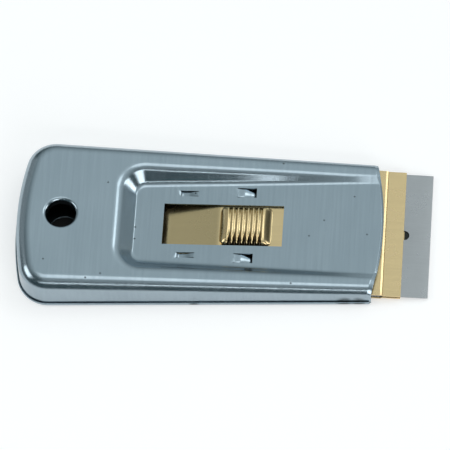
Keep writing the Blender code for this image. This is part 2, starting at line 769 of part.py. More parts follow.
def main():
    clear_scene()
    parts = add_collection("razor_scraper")
    cutters = add_collection("cutters")
    steel = (0.56, 0.61, 0.63)
    brass = (0.78, 0.63, 0.36)
    blade_grey = (0.60, 0.62, 0.64)

    casing = add_empty("casing", parts, location=(-TOOL_LENGTH / 2, 0.0, 0.0))
    carriage = add_empty("carriage", parts, casing, (GRIP_X, 0.0, 0.0))
    jaw = add_empty("jaw", parts, carriage, (FRONT_BEND, 0.0, FLAT_HEIGHT), (0.0, PITCH, 0.0))

    make_upper_shell(parts, casing, add_material("upper_shell_zinc", steel, 0.28))
    make_lower_shell(parts, casing, add_material("lower_shell_zinc", steel, 0.32))

    spread = RIVET_SPREAD / 2
    rivet_holes = []
    for side, y in (("left", spread), ("right", -spread)):
        place = (RIVET_REACH, y, -BRASS)
        radius = RIVET_RADIUS + JAW_GAP
        rivet_holes.append(add_round_cutter("rivet_hole_" + side, radius, CUT_HEIGHT, cutters, jaw, place))
        finish = add_material("rivet_brass_" + side, brass, 0.35)
        make_rivet("carriage_rivet_" + side, y, parts, jaw, finish)
    make_upper_leaf(parts, carriage, add_material("upper_leaf_brass", brass, 0.3), rivet_holes)
    make_lower_leaf(parts, jaw, add_material("lower_leaf_brass", brass, 0.34), rivet_holes)

    place = (JAW_REACH - BLADE_HOLE_SETBACK, 0.0, BLADE_TOP)
    hole = add_round_cutter("blade_hole", BLADE_HOLE_RADIUS, CUT_HEIGHT, cutters, jaw, place)
    make_blade(parts, jaw, add_material("blade_steel", blade_grey, 0.3), hole)
    make_blade_back(parts, jaw, add_material("back_steel", blade_grey, 0.4))


main()
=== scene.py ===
"""Razor scraper with a retractable blade: finished surfaces, studio and camera."""

import json
import math

import bmesh
import bpy
from mathutils import Matrix, Vector

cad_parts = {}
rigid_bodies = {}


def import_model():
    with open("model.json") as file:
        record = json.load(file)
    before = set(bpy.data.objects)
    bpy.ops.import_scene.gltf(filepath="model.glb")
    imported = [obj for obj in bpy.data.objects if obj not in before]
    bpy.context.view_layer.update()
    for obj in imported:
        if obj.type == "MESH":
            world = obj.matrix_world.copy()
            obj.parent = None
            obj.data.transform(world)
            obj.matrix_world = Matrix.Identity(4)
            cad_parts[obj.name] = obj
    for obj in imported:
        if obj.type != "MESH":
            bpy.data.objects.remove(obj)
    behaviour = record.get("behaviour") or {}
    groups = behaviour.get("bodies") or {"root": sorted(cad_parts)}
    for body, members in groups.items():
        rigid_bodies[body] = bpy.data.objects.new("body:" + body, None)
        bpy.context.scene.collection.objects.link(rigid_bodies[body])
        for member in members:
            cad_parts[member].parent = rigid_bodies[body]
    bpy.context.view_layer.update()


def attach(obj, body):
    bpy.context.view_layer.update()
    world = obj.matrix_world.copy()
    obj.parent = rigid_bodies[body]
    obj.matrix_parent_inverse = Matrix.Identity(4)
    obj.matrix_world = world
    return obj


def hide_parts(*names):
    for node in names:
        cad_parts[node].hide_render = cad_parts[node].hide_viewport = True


for leftover in list(bpy.data.objects):
    bpy.data.objects.remove(leftover, do_unlink=True)

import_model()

MM = 0.001

# Razor blade
BLADE_LENGTH = 38.1 * MM
BLADE_DEPTH = 19.05 * MM
BLADE_SHEET = 0.23 * MM
BLADE_BEVEL = 2.2 * MM
BLADE_EDGE = 0.03 * MM
BLADE_HOLE_RADIUS = 1.45 * MM
BLADE_HOLE_SETBACK = 7.3 * MM
BACK_SHEET = 0.25 * MM
BACK_DEPTH = 5.9 * MM

# Sheets and clearances
STEEL = 0.5 * MM
BRASS = 0.5 * MM
HEM = 0.32 * MM
SEAM_GAP = 0.2 * MM
RUNNING_GAP = 0.3 * MM
JAW_GAP = 0.15 * MM
JAW_MARGIN = 0.25 * MM

# Casing, lengths taken from its rear end
CASING_LENGTH = 101.8 * MM
REAR_HEIGHT = 11.2 * MM
SIDE_TAPER = math.radians(1.74)
REAR_BOW = 80.0 * MM
REAR_CORNER = 9.0 * MM
FRONT_BOW = 85.0 * MM
REAR_ROLL = 4.7 * MM
FRONT_ROLL = 3.1 * MM
HEEL_ROLL = 0.6 * MM
HEEL_TURN = math.radians(28)
WALL_DRAFT = math.radians(2.0)
FRONT_DRAFT = math.radians(3.0)
LIP_LENGTH = 1.2 * MM
LIP_DROP = 0.42 * MM
LIP_ROLL = 0.2
PANEL_LIP_SHARE = 0.5
RIM_HEIGHT = 1.6 * MM
RIM_BEND = 0.9 * MM
LOWER_SETBACK = 0.4 * MM
WALL_FLARE = 0.33 * MM
CRIMP_PLACES = (50.8 * MM, 92.4 * MM, 95.6 * MM)
CRIMP_LENGTH = 3.2 * MM
CRIMP_DEPTH = 0.1 * MM
CRIMP_RISE = 2.2 * MM
HOLE_X = 13.2 * MM
HOLE_RADIUS = 4.05 * MM
HOLE_LIP = 1.0 * MM
HOLE_DEPTH = 2.6 * MM

# Sunk panel, window and tabs; a tab's bend is its drop share along its length
PANEL_HEIGHT = 5.3 * MM
RIM_PROUD = 0.6 * MM
PANEL_REAR = 33.5 * MM
PANEL_MARGIN = 0.25 * MM
PANEL_FRONT_WIDTH = 27.0 * MM
PANEL_CORNER = 2.6 * MM
RECESS_REAR = 27.4 * MM
RECESS_REAR_WIDTH = 34.9 * MM
RECESS_FRONT_WIDTH = 33.6 * MM
RECESS_CORNER = 8.4 * MM
RECESS_ROLL = 3.7 * MM
SIDE_FILLET = 2.9 * MM
REAR_FILLET = 0.7 * MM
RECESS_FIT = 0.93
WINDOW_REAR = 41.1 * MM
WINDOW_LENGTH = 33.1 * MM
WINDOW_WIDTH = 12.6 * MM
TAB_KERF = 0.2 * MM
REAR_TAB_START = 45.3 * MM
REAR_TAB_LENGTH = 5.0 * MM
REAR_TAB_WIDTH = 1.7 * MM
REAR_TAB_DROP = 0.6 * MM
FRONT_TAB_START = 61.1 * MM
FRONT_TAB_LENGTH = 5.3 * MM
FRONT_TAB_WIDTH = 2.9 * MM
FRONT_TAB_DROP = 1.3 * MM
TAB_CROWN = 0.28 * MM
REAR_TAB_BEND = ((0.0, 0.0), (0.14, 1.0), (0.45, 0.85), (0.8, 0.25), (1.0, 0.0))
FRONT_TAB_BEND = ((0.0, 0.0), (0.05, 0.07), (0.35, 0.12), (0.55, 0.34), (0.78, 0.68), (1.0, 1.0))

# Brass carriage, lengths taken from the middle of its grip
GRIP_X = 64.1 * MM
STEM_WIDTH = 16.9 * MM
TAIL_TIP = -30.0 * MM
TAIL_FOOT = -28.0 * MM
TAIL_LIFT = 0.6 * MM
REAR_BEND = -8.3 * MM
FRONT_BEND = 15.6 * MM
BLADE_SHOWING = 13.0 * MM
JOGGLE_RUN = 0.5 * MM
RAMP_REAR = 0.12 * MM
RAMP_RUN = 0.58 * MM
RAMP_ROLL = 0.2
RAMP_FALL = 0.11 * MM
RAMP_STEEP = math.radians(56)
LOWER_LEAF_START = 3.5 * MM
RIVET_REACH = 8.0 * MM
RIVET_SPREAD = 25.0 * MM
RIVET_RADIUS = 1.1 * MM
RIVET_HEAD_RADIUS = 2.0 * MM
RIVET_HEAD = 0.3 * MM
RIVET_CROWN_RADIUS = 1.4 * MM

# Thumb grip; a slope is its height share by the distance in from its foot
GRIP_LENGTH = 14.2 * MM
GRIP_RISE = 2.0 * MM
GRIP_CORNER = 1.6 * MM
GRIP_HIP = 0.45
RIB_COUNT = 8
RIB_PITCH = 1.39 * MM
RIB_DEPTH = 0.3 * MM
RIB_FALL = 0.65
RIB_FLARE = 0.62 * MM
RIB_LIMIT = 0.8
FIRST_RIB = 1.86 * MM
REAR_FOOT = 0.2 * MM
REAR_SLOPE = (
    (0.0, 0.0), (0.15 * MM, 0.06), (0.3 * MM, 0.22), (1.6 * MM, 0.76), (2.1 * MM, 0.93), (2.6 * MM, 1.0),
)
FRONT_SLOPE = (
    (0.0, 0.0), (0.25 * MM, 0.05), (0.5 * MM, 0.14), (2.1 * MM, 0.87), (2.4 * MM, 0.96), (2.8 * MM, 1.0),
)
SIDE_SLOPE = (
    (0.0, 0.0), (0.12 * MM, 0.12), (0.3 * MM, 0.4), (1.2 * MM, 0.75), (2.0 * MM, 0.85),
    (3.0 * MM, 0.925), (4.0 * MM, 0.965), (5.0 * MM, 0.99), (6.0 * MM, 1.0),
)
FLARE_SLOPE = ((0.0, 1.0), (0.5 * MM, 1.0), (1.0 * MM, 0.88), (3.2 * MM, 0.16), (4.6 * MM, 0.0))

# Edges
EDGE_ROUND = 0.07 * MM
HEM_ROUND = 0.1 * MM
ROUND_ANGLE = math.radians(48)
SHARP_ANGLE = math.radians(28)
BLADE_SHARP = math.radians(5)
RIVET_SHARP = math.radians(30)
FLAT_ANGLE = math.radians(0.05)
WELD = 0.0001 * MM
MIDDLE_WELD = 0.001 * MM
LIP_WELD = 0.003 * MM
LIP_REACH = 4.48 * MM

# Smoothness
BOW_STEPS = 18
CORNER_STEPS = 20
ROLL_STEPS = 14
HEEL_STEPS = 4
FILLET_STEPS = 10
HOLE_STEPS = 36
FLOOR_STEPS = 12
SIDE_STEP = 4.0 * MM
CRIMP_STEPS = 8
TAB_STEPS = 16
TAB_COLUMNS = 6
BEND_STEPS = 10
RIB_SAMPLES = 16
SLOPE_SAMPLES = 10
SIDE_SAMPLES = 26
ROUND_SIDES = 48
EDGE_STEPS = 3
HEM_STEPS = 4
EDGE_FITS = 4

# Grain of all surfaces: fineness of its lines, clouds and waves
LINE_DETAIL = 2.0
CLOUD_DETAIL = 3.0
CLOUD_TONES = (0.3, 0.7)
WAVE_DETAIL = 1.0

# Zinc plate: cell lengths of its grain along X, Y and Z, bump heights, pits and painted shade in the
# crimp dents
ZINC_LIGHT = (0.355, 0.43, 0.478)
ZINC_DARK = (0.315, 0.386, 0.432)
ZINC_PIT = (0.1, 0.12, 0.13)
ZINC_FINE = (0.1 * MM, 8.0 * MM, 3.0 * MM)
ZINC_BROAD = (0.7 * MM, 25.0 * MM, 6.0 * MM)
ZINC_CLOUD = (9.0 * MM, 14.0 * MM, 9.0 * MM)
ZINC_WAVE = (16.0 * MM, 22.0 * MM, 16.0 * MM)
ZINC_FINE_SHARE = 0.5
ZINC_TONES = (0.85, 1.65)
ZINC_ROUGHNESS = (0.26, 0.17)
ZINC_FINE_HEIGHT = 0.003 * MM
ZINC_BROAD_HEIGHT = 0.004 * MM
ZINC_WAVE_HEIGHT = 0.08 * MM
PIT_SPACING = 4.0 * MM
PIT_RADIUS = 0.32 * MM
PIT_SHARE = 0.06
PIT_DEPTH = 0.02 * MM
PIT_LEVELS = (0.8, 0.9)
CRIMP_SHADE = (0.11, 0.135, 0.145)
CRIMP_SHADE_GRAIN = (0.8 * MM, 0.8 * MM, 0.5 * MM)
CRIMP_SHADE_RAGGED = 0.4
CRIMP_SHADE_FADE = (1.2, 0.6)
CRIMP_SHADE_LEVELS = (0.8, 0.5)

# Painted shade in the crimp dents: place along the casing, half length, height above the rim and half
# height
CRIMP_SHADE_SPOTS = (
    (50.8 * MM, 1.7 * MM, -0.5 * MM, 1.2 * MM),
    (92.0 * MM, 2.7 * MM, 0.0 * MM, 1.9 * MM),
    (95.9 * MM, 2.4 * MM, -0.1 * MM, 1.7 * MM),
)

# Brass: grain as for the zinc, painted shade on the tail behind the grip, painted shade in the grip's
# grooves and on its front face, and painted black shade on the lower jaw's tongue under the blade's hole
BRASS_LIGHT = (0.74, 0.571, 0.31)
BRASS_DARK = (0.667, 0.515, 0.282)
BRASS_TAIL_SHADE = (0.5, 0.4, 0.22)
BRASS_FINE = (10.0 * MM, 0.1 * MM, 2.0 * MM)
BRASS_BROAD = (30.0 * MM, 0.6 * MM, 4.0 * MM)
BRASS_CLOUD = (6.0 * MM, 5.0 * MM, 6.0 * MM)
BRASS_FINE_SHARE = 0.6
BRASS_TONES = (0.95, 1.65)
BRASS_ROUGHNESS = (0.3, 0.2)
BRASS_FINE_HEIGHT = 0.0008 * MM
BRASS_BROAD_HEIGHT = 0.002 * MM
TAIL_SHADE_SHARE = 0.6
TAIL_SHADE_FADE = 0.4 * MM
GROOVE_SHADE = (0.07, 0.055, 0.03)
GROOVE_SHADE_REACH = 4.6 * MM
GROOVE_SHADE_BIAS = (-1.0, 1.4)
GROOVE_SHADE_FADE = (0.1, 0.7)
GROOVE_SHADE_END = 0.3 * MM
FACE_SETBACK = 1.25 * MM
FACE_SHADE = 0.75
FACE_RUN = (0.9 * MM, 0.5 * MM)
FACE_INSET = (0.9 * MM, 1.5 * MM)
JAW_SHADE = (0.03, 0.032, 0.03)
JAW_SHADE_FADE = (0.05 * MM, 0.2 * MM)

# Blade steel: grain as for the zinc
GROUND_LIGHT = (0.395, 0.41, 0.42)
GROUND_DARK = (0.355, 0.37, 0.38)
GROUND_FINE = (6.0 * MM, 0.12 * MM, 2.0 * MM)
GROUND_CLOUD = (5.0 * MM, 7.0 * MM, 5.0 * MM)
GROUND_TONES = (0.7, 1.3)
GROUND_ROUGHNESS = (0.34, 0.26)
GROUND_HEIGHT = 0.0015 * MM

# Floor, with a spot of painted shade under the hanging hole
FLOOR_COLOUR = (0.65, 0.65, 0.65)
FLOOR_SPECK = 0.985
FLOOR_GRAIN = (3.0 * MM, 3.0 * MM, 3.0 * MM)
FLOOR_ROUGHNESS = 0.9
FLOOR_GLOW = 0.49
FLOOR_HALF = 8.0
FLOOR_SINK = 0.02 * MM
SHADE_RADIUS = 7.0 * MM
SHADE_FADE = 1.2
SHADE_COLOUR = (0.02, 0.02, 0.02)

# Room light and lamps: name, azimuth and elevation in degrees, distance, width, height, brightness
ROOM_BRIGHT_WAY = (0.361, 0.471, 0.805)
ROOM_DARK = (0.055, 0.09, 0.098)
ROOM_LIGHT = (0.8, 0.88, 0.9)
ROOM_FADE = (0.4, 1.0)
LAMPS = (
    ("key", 40.0, 53.0, 1.3, 0.4, 0.4, 1.9),
    ("front", -90.0, 41.0, 1.2, 1.0, 0.07, 4.2),
    ("over", -90.0, 60.0, 1.3, 0.7, 0.4, 0.25),
    ("right", -60.0, 24.0, 1.2, 0.7, 0.6, 2.8),
    ("ahead", 3.0, 12.0, 1.2, 0.5, 0.45, 3.2),
    ("left", 187.0, 34.0, 1.2, 0.7, 0.45, 2.8),
    ("back", 148.0, 20.0, 1.2, 0.6, 0.75, 0.32),
    ("top", -90.0, 88.0, 1.3, 0.7, 0.55, 1.1),
)

# Camera, aimed at a point in the casing
CAMERA_ELEVATION = math.radians(61.376)
CAMERA_TURN = math.radians(10.783)
CAMERA_ROLL = math.radians(-8.211)
CAMERA_DISTANCE = 1470.6 * MM
CAMERA_LENS = 427.6
CAMERA_SENSOR = 36.0
CAMERA_NEAR = 0.01
CAMERA_FAR = 50.0
AIM_ALONG = 55.0 * MM
AIM_HEIGHT = 4.0 * MM
AIM_RIGHT = 3.119 * MM
AIM_DOWN = -0.542 * MM

# Sizes that follow
HEAD_WIDTH = BLADE_LENGTH + 2 * JAW_MARGIN
FLAT_HEIGHT = PANEL_HEIGHT - STEEL - RUNNING_GAP
WALL_INSET = STEEL + SEAM_GAP
WALL_FOOT = STEEL + SEAM_GAP
DRAFT_ROOM = (FLAT_HEIGHT - WALL_FOOT) * math.tan(FRONT_DRAFT)
FRONT_WIDTH = HEAD_WIDTH + 2 * (RUNNING_GAP + DRAFT_ROOM + STEEL + WALL_INSET)
FRONT_HEIGHT = PANEL_HEIGHT + RIM_PROUD
WINDOW_FRONT = WINDOW_REAR + WINDOW_LENGTH
TAB_INNER = STEM_WIDTH / 2 + RUNNING_GAP
PANEL_REAR_WIDTH = 2 * (TAB_INNER + REAR_TAB_WIDTH + PANEL_MARGIN)
GRIP_WIDTH = WINDOW_WIDTH - 2 * RUNNING_GAP
RIBBED_LENGTH = RIB_PITCH * (RIB_COUNT - 1)
REAR_TRAVEL = GRIP_X - GRIP_LENGTH / 2 - WINDOW_REAR - RUNNING_GAP
SHOULDER = FRONT_TAB_START + FRONT_TAB_LENGTH + REAR_TRAVEL + RUNNING_GAP - GRIP_X
JAW_REACH = CASING_LENGTH + BLADE_SHOWING - GRIP_X - FRONT_BEND
JOGGLE = BACK_SHEET + JAW_GAP
BLADE_TOP = -BRASS - JAW_GAP - BACK_SHEET - JAW_GAP
LOWER_LIP_TOP = BLADE_TOP - BLADE_SHEET - JAW_GAP
POCKET_BOTTOM = LOWER_LIP_TOP - JOGGLE - BRASS
RIDGE = JAW_REACH - BLADE_DEPTH + BACK_DEPTH + JAW_GAP
LIP_EDGE = JAW_REACH - BLADE_HOLE_SETBACK - JAW_GAP
TONGUE_EDGE = JAW_REACH - BLADE_HOLE_SETBACK + BLADE_HOLE_RADIUS + RUNNING_GAP
TONGUE_HALF = BLADE_HOLE_RADIUS + 3 * RUNNING_GAP
POCKET_REAR = JAW_REACH - BLADE_DEPTH - RUNNING_GAP
PITCH = math.asin((FLAT_HEIGHT + POCKET_BOTTOM - STEEL - JAW_GAP) / RIDGE)
TOOL_LENGTH = GRIP_X + FRONT_BEND + JAW_REACH * math.cos(PITCH) + BLADE_TOP * math.sin(PITCH)

# Places that follow, in the frame
REAR_END = -TOOL_LENGTH / 2
GRIP_MIDDLE = REAR_END + GRIP_X
GRIP_REAR = GRIP_MIDDLE - GRIP_LENGTH / 2
GRIP_FRONT = GRIP_MIDDLE + GRIP_LENGTH / 2
LIP_START = REAR_END + CASING_LENGTH - LIP_REACH
JAW_SHADE_START = GRIP_MIDDLE + FRONT_BEND + LIP_EDGE * math.cos(PITCH)
SHADE_PLACE = (REAR_END + HOLE_X, 0.0, 0.0)
CAMERA_POINT = Vector((REAR_END + AIM_ALONG, 0.0, AIM_HEIGHT))
CASING_PLACE = Matrix.Translation((REAR_END, 0.0, 0.0))
CARRIAGE_PLACE = CASING_PLACE @ Matrix.Translation((GRIP_X, 0.0, 0.0))
JAW_PLACE = (
    CARRIAGE_PLACE @ Matrix.Translation((FRONT_BEND, 0.0, FLAT_HEIGHT)) @ Matrix.Rotation(PITCH, 4, "Y")
)


# Curves and tables

def lerp(start, end, share):
    return start + (end - start) * share


def rolled_fall(share, roll):
    """Share of a fall that starts level, rolls over and then runs straight."""
    fall = share**2 / (2 * roll) if share < roll else share - roll / 2
    return fall / (1 - roll / 2)


def spaced(places):
    """Sorted places without those that fall on the one before."""
    return [x for i, x in enumerate(places) if i == 0 or x - places[i - 1] > WELD]


def smooth_table(table, samples, level_end=True):
    """Points on a smooth curve through a short table, with no overshoot."""
    slopes = [(b[1] - a[1]) / (b[0] - a[0]) for a, b in zip(table, table[1:])]
    tangents = [slopes[0]]
    for left, right in zip(slopes, slopes[1:]):
        both = left * right
        tangents.append(2 * both / (left + right) if both > 0 else 0.0)
    tangents.append(0.0 if level_end else slopes[-1])
    points = []
    for k, (a, b) in enumerate(zip(table, table[1:])):
        width = b[0] - a[0]
        for i in range(samples):
            t = i / samples
            low = (1 + 2 * t) * (1 - t) ** 2 * a[1] + t * (1 - t) ** 2 * width * tangents[k]
            high = t * t * (3 - 2 * t) * b[1] - t * t * (1 - t) * width * tangents[k + 1]
            points.append((a[0] + width * t, low + high))
    points.append(tuple(table[-1]))
    return points


def ramp(table, value):
    """Height of a table's line at a value, level past its ends."""
    for (near, low), (far, high) in zip(table, table[1:]):
        if value <= far:
            return lerp(low, high, max(0.0, value - near) / (far - near))
    return table[-1][1]


# Outline of the casing

def half_width(x):
    return FRONT_WIDTH / 2 + (CASING_LENGTH - x) * math.tan(SIDE_TAPER)


def top_height(x):
    return lerp(REAR_HEIGHT, FRONT_HEIGHT, x / CASING_LENGTH)


def front_edge(y):
    return CASING_LENGTH - FRONT_BOW + math.sqrt(FRONT_BOW**2 - y**2)


def crimp(x):
    """Depth of the dent that a crimp leaves in the wall."""
    for place in CRIMP_PLACES:
        away = abs(x - place) / (CRIMP_LENGTH / 2)
        if away < 1:
            return CRIMP_DEPTH * math.cos(away * math.pi / 2) ** 2
    return 0.0


def corner_centre():
    """Centre of the rear corner's arc, which touches both the rear bow and the tapered side."""
    reach = REAR_BOW - REAR_CORNER
    slope = math.tan(SIDE_TAPER)
    level = half_width(0) - REAR_CORNER / math.cos(SIDE_TAPER)
    a = 1 + slope**2
    b = REAR_BOW + level * slope
    c = REAR_BOW**2 + level**2 - reach**2
    x = (b - math.sqrt(b**2 - a * c)) / a
    return Vector((x, level - slope * x))


def arc_station(centre, radius, angle):
    outward = Vector((-math.cos(angle), math.sin(angle)))
    return lambda inset: centre + outward * (radius - inset)


def side_station(x):
    return lambda inset: Vector((x, half_width(x) - inset / math.cos(SIDE_TAPER)))


def front_station(setback):
    def place(inset):
        x = CASING_LENGTH
        for _ in range(EDGE_FITS):
            y = half_width(x) - inset / math.cos(SIDE_TAPER)
            x = front_edge(y) - setback
        return Vector((x, y))
    return place


def rear_stations():
    bow = Vector((REAR_BOW, 0.0))
    corner = corner_centre()
    turn = math.atan2(corner.y, REAR_BOW - corner.x)
    last = math.pi / 2 + SIDE_TAPER
    stations = [arc_station(bow, REAR_BOW, turn * i / BOW_STEPS) for i in range(BOW_STEPS)]
    for i in range(CORNER_STEPS + 1):
        stations.append(arc_station(corner, REAR_CORNER, lerp(turn, last, i / CORNER_STEPS)))
    return stations


def side_stations():
    places = []
    start = corner_centre().x
    for place in CRIMP_PLACES:
        near = place - CRIMP_LENGTH / 2
        gaps = max(1, round((near - start) / SIDE_STEP))
        places += [lerp(start, near, i / gaps) for i in range(1, gaps)]
        places += [near + CRIMP_LENGTH * i / CRIMP_STEPS for i in range(CRIMP_STEPS + 1)]
        start = near + CRIMP_LENGTH
    return [side_station(x) for x in spaced(places)]


def lip_stations():
    """Setback from the front edge and drop of each row of the turned-down lip."""
    shares = [i / ROLL_STEPS for i in range(ROLL_STEPS, -1, -1)]
    return [(LIP_LENGTH * share, LIP_DROP * rolled_fall(1 - share, LIP_ROLL)) for share in shares]


# Mesh helpers

def add_strip(bm, columns):
    """Faces between neighbouring columns of points."""
    rows = [[bm.verts.new(point) for point in column] for column in columns]
    for left, right in zip(rows, rows[1:]):
        for i in range(len(left) - 1):
            bm.faces.new((left[i], right[i], right[i + 1], left[i + 1]))


def add_loop(bm, points):
    verts = [bm.verts.new(point) for point in points]
    return [bm.edges.new((verts[i - 1], verts[i])) for i in range(len(verts))]


def fill_flat(bm, loops):
    edges = [edge for points in loops for edge in add_loop(bm, points)]
    bmesh.ops.triangle_fill(bm, use_beauty=True, edges=edges)


def join_faces(bm):
    bmesh.ops.remove_doubles(bm, verts=bm.verts, dist=WELD)
    bmesh.ops.recalc_face_normals(bm, faces=bm.faces)


def join_skin(bm, outward):
    """Joins the faces of an open skin and turns it so that its largest face looks up or down."""
    join_faces(bm)
    bm.normal_update()
    largest = max(bm.faces, key=lambda face: face.calc_area())
    if largest.normal.z * outward < 0:
        bmesh.ops.reverse_faces(bm, faces=bm.faces)


def add_piece(name, bm, place, body, node):
    """A finished piece that stands for one CAD node and rides on its body."""
    bm.transform(place)
    mesh = bpy.data.meshes.new(name)
    bm.to_mesh(mesh)
    bm.free()
    mesh.shade_smooth()
    mesh.set_sharp_from_angle(angle=SHARP_ANGLE)
    piece = bpy.data.objects.new(name, mesh)
    bpy.context.scene.collection.objects.link(piece)
    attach(piece, body)
    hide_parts(node)
    return piece


def round_edges(piece, width, steps=EDGE_STEPS):
    """Rounds the sharp edges, and welds what comes out too fine in a named group."""
    bevel = piece.modifiers.new("edges", "BEVEL")
    bevel.width = width
    bevel.segments = steps
    bevel.limit_method = "ANGLE"
    bevel.angle_limit = ROUND_ANGLE
    bevel.use_clamp_overlap = True
    for group in piece.vertex_groups:
        weld = piece.modifiers.new("weld", "WELD")
        weld.merge_threshold = LIP_WELD
        weld.vertex_group = group.name
    normals = piece.modifiers.new("normals", "WEIGHTED_NORMAL")
    normals.keep_sharp = True


def make_shell_of(piece, thickness):
    """Mirrors a half skin and gives it the thickness of its sheet, inwards."""
    mirror = piece.modifiers.new("halves", "MIRROR")
    mirror.use_axis = (False, True, False)
    mirror.merge_threshold = MIDDLE_WELD
    sheet = piece.modifiers.new("sheet", "SOLIDIFY")
    sheet.thickness = thickness
    sheet.offset = -1
    sheet.use_even_offset = True


# Upper shell

def wall_column(place, drop):
    """Wall up from the rim, then a tight heel and a wide roll over to the top."""
    x = place(0).x
    roll = lerp(REAR_ROLL, FRONT_ROLL, x / CASING_LENGTH)
    sink = roll * (1 - math.sin(HEEL_TURN))
    wall_top = top_height(x) - sink - HEEL_ROLL * (math.sin(HEEL_TURN) - math.sin(WALL_DRAFT))
    wall_inset = WALL_INSET + (wall_top - WALL_FOOT) * math.tan(WALL_DRAFT)
    column = []
    rows = [(WALL_FOOT, 0.0)]
    for i in range(CRIMP_STEPS + 1):
        rise = i / CRIMP_STEPS
        rows.append((RIM_HEIGHT + CRIMP_RISE * rise, math.sin(rise * math.pi) ** 2))
    for height, hold in rows:
        above = (height - WALL_FOOT) / (wall_top - WALL_FOOT)
        inset = lerp(WALL_INSET - WALL_FLARE, wall_inset, above) + hold * crimp(x)
        column.append((*place(inset), height))
    for i in range(HEEL_STEPS):
        turn = lerp(WALL_DRAFT, HEEL_TURN, i / HEEL_STEPS)
        point = place(wall_inset + HEEL_ROLL * (math.cos(WALL_DRAFT) - math.cos(turn)))
        height = top_height(point.x) - sink - HEEL_ROLL * (math.sin(HEEL_TURN) - math.sin(turn))
        column.append((*point, height - drop * math.sin(turn)))
    heel_inset = wall_inset + HEEL_ROLL * (math.cos(WALL_DRAFT) - math.cos(HEEL_TURN))
    for i in range(ROLL_STEPS + 1):
        turn = lerp(HEEL_TURN, math.pi / 2, i / ROLL_STEPS)
        point = place(heel_inset + roll * (math.cos(HEEL_TURN) - math.cos(turn)))
        height = top_height(point.x) - roll * (1 - math.sin(turn))
        column.append((*point, height - drop * math.sin(turn)))
    return column


def rounded_corner(rear, half, radius, angle):
    return Vector((rear + radius * (1 - math.cos(angle)), half - radius * (1 - math.sin(angle))))


def panel_half(x):
    share = (x - PANEL_REAR) / (CASING_LENGTH - PANEL_REAR)
    return lerp(PANEL_REAR_WIDTH, PANEL_FRONT_WIDTH, share) / 2


def recess_half(x):
    share = (x - RECESS_REAR) / (CASING_LENGTH - RECESS_REAR)
    return lerp(RECESS_REAR_WIDTH, RECESS_FRONT_WIDTH, share) / 2


def recess_column(opening, floor, fillet, drop):
    """Recess wall: a wide roll down from the top, a straight slope and a fillet into the panel."""
    inward = (floor - opening).normalized()
    run = (floor - opening).length
    depth = top_height(opening.x) - PANEL_HEIGHT
    fit = RECESS_FIT * (run**2 + depth**2) / (2 * depth) / (RECESS_ROLL + fillet)
    roll = RECESS_ROLL * min(1.0, fit)
    fillet *= min(1.0, fit)
    excess = roll + fillet - depth
    slope = math.asin((roll + fillet) / math.hypot(run, excess)) - math.atan2(excess, run)
    column = []
    for i in range(ROLL_STEPS + 1):
        turn = slope * i / ROLL_STEPS
        point = opening + inward * roll * math.sin(turn)
        column.append((*point, top_height(point.x) - roll * (1 - math.cos(turn)) - drop))
    for i in range(FILLET_STEPS, -1, -1):
        turn = slope * i / FILLET_STEPS
        point = floor - inward * fillet * math.sin(turn)
        column.append((*point, PANEL_HEIGHT + fillet * (1 - math.cos(turn)) - drop))
    return column


def recess_columns():
    columns = []
    half = recess_half(RECESS_REAR + RECESS_CORNER)
    floor_half = panel_half(PANEL_REAR + PANEL_CORNER)
    for i in range(FLOOR_STEPS):
        share = i / FLOOR_STEPS
        opening = Vector((RECESS_REAR, (half - RECESS_CORNER) * share))
        floor = Vector((PANEL_REAR, (floor_half - PANEL_CORNER) * share))
        columns.append(recess_column(opening, floor, REAR_FILLET, 0.0))
    for i in range(CORNER_STEPS + 1):
        angle = math.pi / 2 * i / CORNER_STEPS
        opening = rounded_corner(RECESS_REAR, half, RECESS_CORNER, angle)
        floor = rounded_corner(PANEL_REAR, floor_half, PANEL_CORNER, angle)
        fillet = lerp(REAR_FILLET, SIDE_FILLET, math.sin(angle))
        columns.append(recess_column(opening, floor, fillet, 0.0))
    opening_y = recess_half(CASING_LENGTH)
    floor_y = panel_half(CASING_LENGTH)
    lip = []
    for setback, drop in lip_stations():
        lip_opening = Vector((front_edge(opening_y) - setback, opening_y))
        lip_floor = Vector((front_edge(floor_y) - PANEL_LIP_SHARE * setback, floor_y))
        lip.append((lip_opening, lip_floor, SIDE_FILLET, drop))
    gaps = round((lip[0][0].x - opening.x) / SIDE_STEP)
    for share in [i / gaps for i in range(1, gaps)]:
        place = (opening.lerp(lip[0][0], share), floor.lerp(lip[0][1], share))
        columns.append(recess_column(*place, SIDE_FILLET, 0.0))
    return columns + [recess_column(*row) for row in lip]


def half_ring(radius):
    """Half circle round the middle of the hanging hole, from its front to its rear."""
    points = []
    for i in range(HOLE_STEPS + 1):
        angle = math.pi * i / HOLE_STEPS
        y = radius * math.sin(angle) if 0 < i < HOLE_STEPS else 0.0
        points.append((HOLE_X + radius * math.cos(angle), y))
    return points


def hole_columns():
    """Hanging hole: a roll over from the top, then a straight neck."""
    sizes = []
    for i in range(ROLL_STEPS + 1):
        turn = math.pi / 2 * i / ROLL_STEPS
        sizes.append((HOLE_RADIUS + HOLE_LIP * (1 - math.sin(turn)), HOLE_LIP * (1 - math.cos(turn))))
    sizes.append((HOLE_RADIUS, HOLE_DEPTH))
    rings = [[(x, y, top_height(x) - depth) for x, y in half_ring(radius)] for radius, depth in sizes]
    return list(zip(*rings))


def floor_row(setback, drop):
    row = []
    for i in range(FLOOR_STEPS + 1):
        y = panel_half(CASING_LENGTH) * (1 - i / FLOOR_STEPS)
        row.append((front_edge(y) - PANEL_LIP_SHARE * setback, y, PANEL_HEIGHT - drop))
    return row


